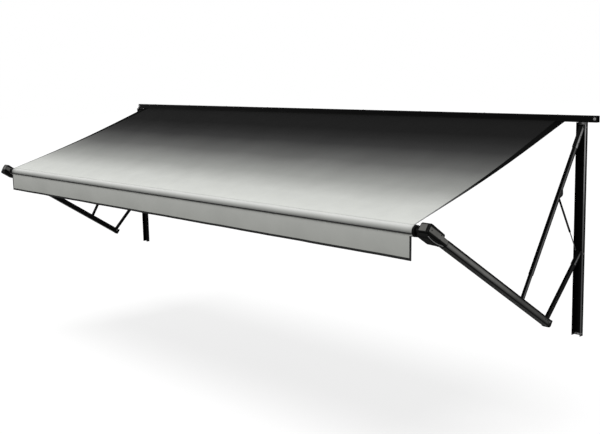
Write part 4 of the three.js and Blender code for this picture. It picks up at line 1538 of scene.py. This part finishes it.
@dataclass(frozen=True)
class Studio:
    """Camera, plain soft light and a pale floor."""

    eye: Triple = (7.571, -6.878, 0.455)
    azimuth: float = 48.47
    elevation: float = 8.89
    roll: float = -1.26
    focal_pixels: float = 958.0
    image_width: int = 600
    sensor: float = 36.0
    clip_end: float = 200.0
    ambient: float = 0.44
    sun: float = 1.95
    sun_spread: float = 28.0
    sun_way: Triple = (0.3, -0.42, 0.86)
    sun_distance: float = 6.0
    floor_height: float = -2.9
    floor_reach: float = 60.0
    floor_tone: float = 0.32
    floor_glow: float = 0.74

    def build(self) -> None:
        """Builds the camera, the light and the floor."""
        self.camera()
        self.world()
        self.lamp()
        self.floor()

    def camera(self) -> None:
        """Places the camera at the photograph's viewing angle."""
        turn, rise, roll = map(math.radians, (self.azimuth, self.elevation, self.roll))
        back = Vector((math.sin(turn) * math.cos(rise), -math.cos(turn) * math.cos(rise), math.sin(rise)))
        right = (-back).cross(Vector((0, 0, 1))).normalized()
        up = right.cross(-back)
        turned_right = right * math.cos(roll) + up * math.sin(roll)
        turned_up = up * math.cos(roll) - right * math.sin(roll)
        data = bpy.data.cameras.new("camera")
        data.sensor_fit = "HORIZONTAL"
        data.sensor_width = self.sensor
        data.lens = self.focal_pixels * self.sensor / self.image_width
        data.clip_end = self.clip_end
        camera = placed("camera", data)
        axes = Matrix((turned_right, turned_up, back)).transposed()
        camera.matrix_world = Matrix.Translation(self.eye) @ axes.to_4x4()
        bpy.context.scene.camera = camera

    def world(self) -> None:
        """Lights evenly, and shows white to the camera."""
        world = bpy.data.worlds.new("studio")
        bpy.context.scene.world = world
        world.use_nodes = True
        graph = Graph(world.node_tree)
        path = graph.node("ShaderNodeLightPath").outputs
        light, white = (
            graph.node("ShaderNodeBackground", {"Color": WHITE, "Strength": strength}).outputs[0]
            for strength in (self.ambient, 1.0)
        )
        seen = graph.math("MAXIMUM", path["Is Camera Ray"], path["Is Transmission Ray"])
        pick = graph.node("ShaderNodeMixShader", {0: seen, 1: light, 2: white})
        graph.node("ShaderNodeOutputWorld", {"Surface": pick.outputs[0]})

    def lamp(self) -> None:
        """Places one broad soft lamp above."""
        data = bpy.data.lights.new("sky_lamp", "SUN")
        data.energy = self.sun
        data.angle = math.radians(self.sun_spread)
        lamp = placed("sky_lamp", data)
        lamp.rotation_mode = "QUATERNION"
        lamp.rotation_quaternion = Vector(self.sun_way).to_track_quat("Z", "Y")
        lamp.location = Vector(self.sun_way) * self.sun_distance

    def floor(self) -> None:
        """Lays a wide pale floor that keeps the object's shadow."""
        corners = ((-1, -1), (1, -1), (1, 1), (-1, 1))
        points = np.array([(x * self.floor_reach, y * self.floor_reach, self.floor_height) for x, y in corners])
        floor = mesh_object("floor", points, [(0, 1, 2, 3)], smooth=False)
        material, graph, _ = new_material("floor")
        seen = graph.node("ShaderNodeLightPath").outputs["Is Camera Ray"]
        lift = graph.math("MULTIPLY", seen, self.floor_glow)
        matt = graph.node("ShaderNodeBsdfDiffuse", {"Color": (self.floor_tone,) * 3})
        glow = graph.node("ShaderNodeEmission", {"Color": WHITE, "Strength": lift})
        both = graph.node("ShaderNodeAddShader", {0: matt.outputs[0], 1: glow.outputs[0]})
        graph.node("ShaderNodeOutputMaterial", {"Surface": both.outputs[0]})
        dress(floor, material)


# ---------------------------------------------------------------- the whole


@dataclass(frozen=True)
class ClothTones:
    """Tones down each cloth, read from the photograph: the canopy's printed fade, painted highlight and painted shade
    round the wound roll, and the valance lighter at its top and darker towards its foot.
    """

    canopy: Stops = tones(
        (0.0, 19), (0.17, 21), (0.25, 36), (0.33, 52), (0.5, 98, 0.01, 0.02), (0.7, 156, 0.013, 0.033),
        (0.86, 203, 0.013, 0.033), (1.0, 217, 0.013, 0.033),
    )
    binding: Stops = tones((0.0, 2), (0.6, 6), (0.8, 80), (1.0, 165))
    # Painted highlight and painted shade round the wound roll: darkest just above the seam, brightest near its top.
    roll: Stops = tones(
        (0.0, 150, 0.013, 0.033), (0.12, 158, 0.013, 0.033), (0.3, 182, 0.013, 0.033), (0.55, 214, 0.01, 0.02),
        (0.8, 224, 0.01, 0.02), (1.0, 216, 0.01, 0.02),
    )
    valance: Stops = tones((0.0, 199, 0.02, 0.035), (0.02, 193, 0.02, 0.035), (0.12, 176, 0.025, 0.045))
    roll_length: float = 0.09


def main() -> None:
    """Builds the looks round the frame."""
    logging.basicConfig(level=logging.INFO, format="%(name)s: %(message)s")
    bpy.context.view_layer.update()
    layout, fade = Layout(), ClothTones()
    length = layout.reach(layout.roller_axis)[1]
    black = PaintFinish("black_powder_coat", grey(4), roughness=0.34, gloss=0.1)
    charcoal = PaintFinish("charcoal_powder_coat", grey(30, 0.03, 0.02), roughness=0.42, gloss=0.16, wear=0.25)
    plastic = PlasticFinish("grained_plastic", grey(7)).build()
    canopy_cloth = ClothFinish("faded_cloth", fade.canopy, length).build()
    # The wound roll's cloth is pale, with painted highlight and painted shade in its tones.
    roll_cloth_with_painted_light = ClothFinish("pale_cloth", fade.roll, fade.roll_length).build()
    valance_cloth = ClothFinish("valance_cloth", fade.valance, length).build()
    side_binding = ClothFinish("side_binding", fade.binding, length, gloss=0.02).build()
    # Dark binding on the valance's hems and on the welt, where its darkness is also painted shadow along the seam.
    hem_binding = ThreadFinish("hem_binding", grey(14)).build()
    thread = ThreadFinish("dark_thread", grey(30)).build()
    bright = MetalFinish("mill_aluminium", grey(205)).build()
    steel = MetalFinish("plated_steel", grey(150), roughness=0.28).build()

    # The frame's shaded pieces get paints with painted highlights and painted shade over the black powder coat.
    Metalwork({
        Slot.BLACK_PAINT: black.build(),
        Slot.GREY_PAINT: charcoal.build(),
        Slot.BARE_ALUMINIUM: bright,
        Slot.STEEL: steel,
        Slot.BLACK_PLASTIC: plastic,
        Slot.CANOPY_CLOTH: canopy_cloth,
        Slot.VALANCE_CLOTH: valance_cloth,
    }, PaintedLightPaints(layout, black).build()).build()
    Fixings(layout, bright, plastic, FastenerSet()).build()
    stitches = StitchRow()
    Canopy(layout, canopy_cloth, side_binding, thread, TautCloth(), stitches).build()
    RollerCloth(layout, roll_cloth_with_painted_light, valance_cloth, hem_binding, thread, stitches).build()
    Studio().build()
    scene = bpy.context.scene
    scene.view_settings.view_transform = "Standard"
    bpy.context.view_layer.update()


if __name__ == "__main__":
    main()
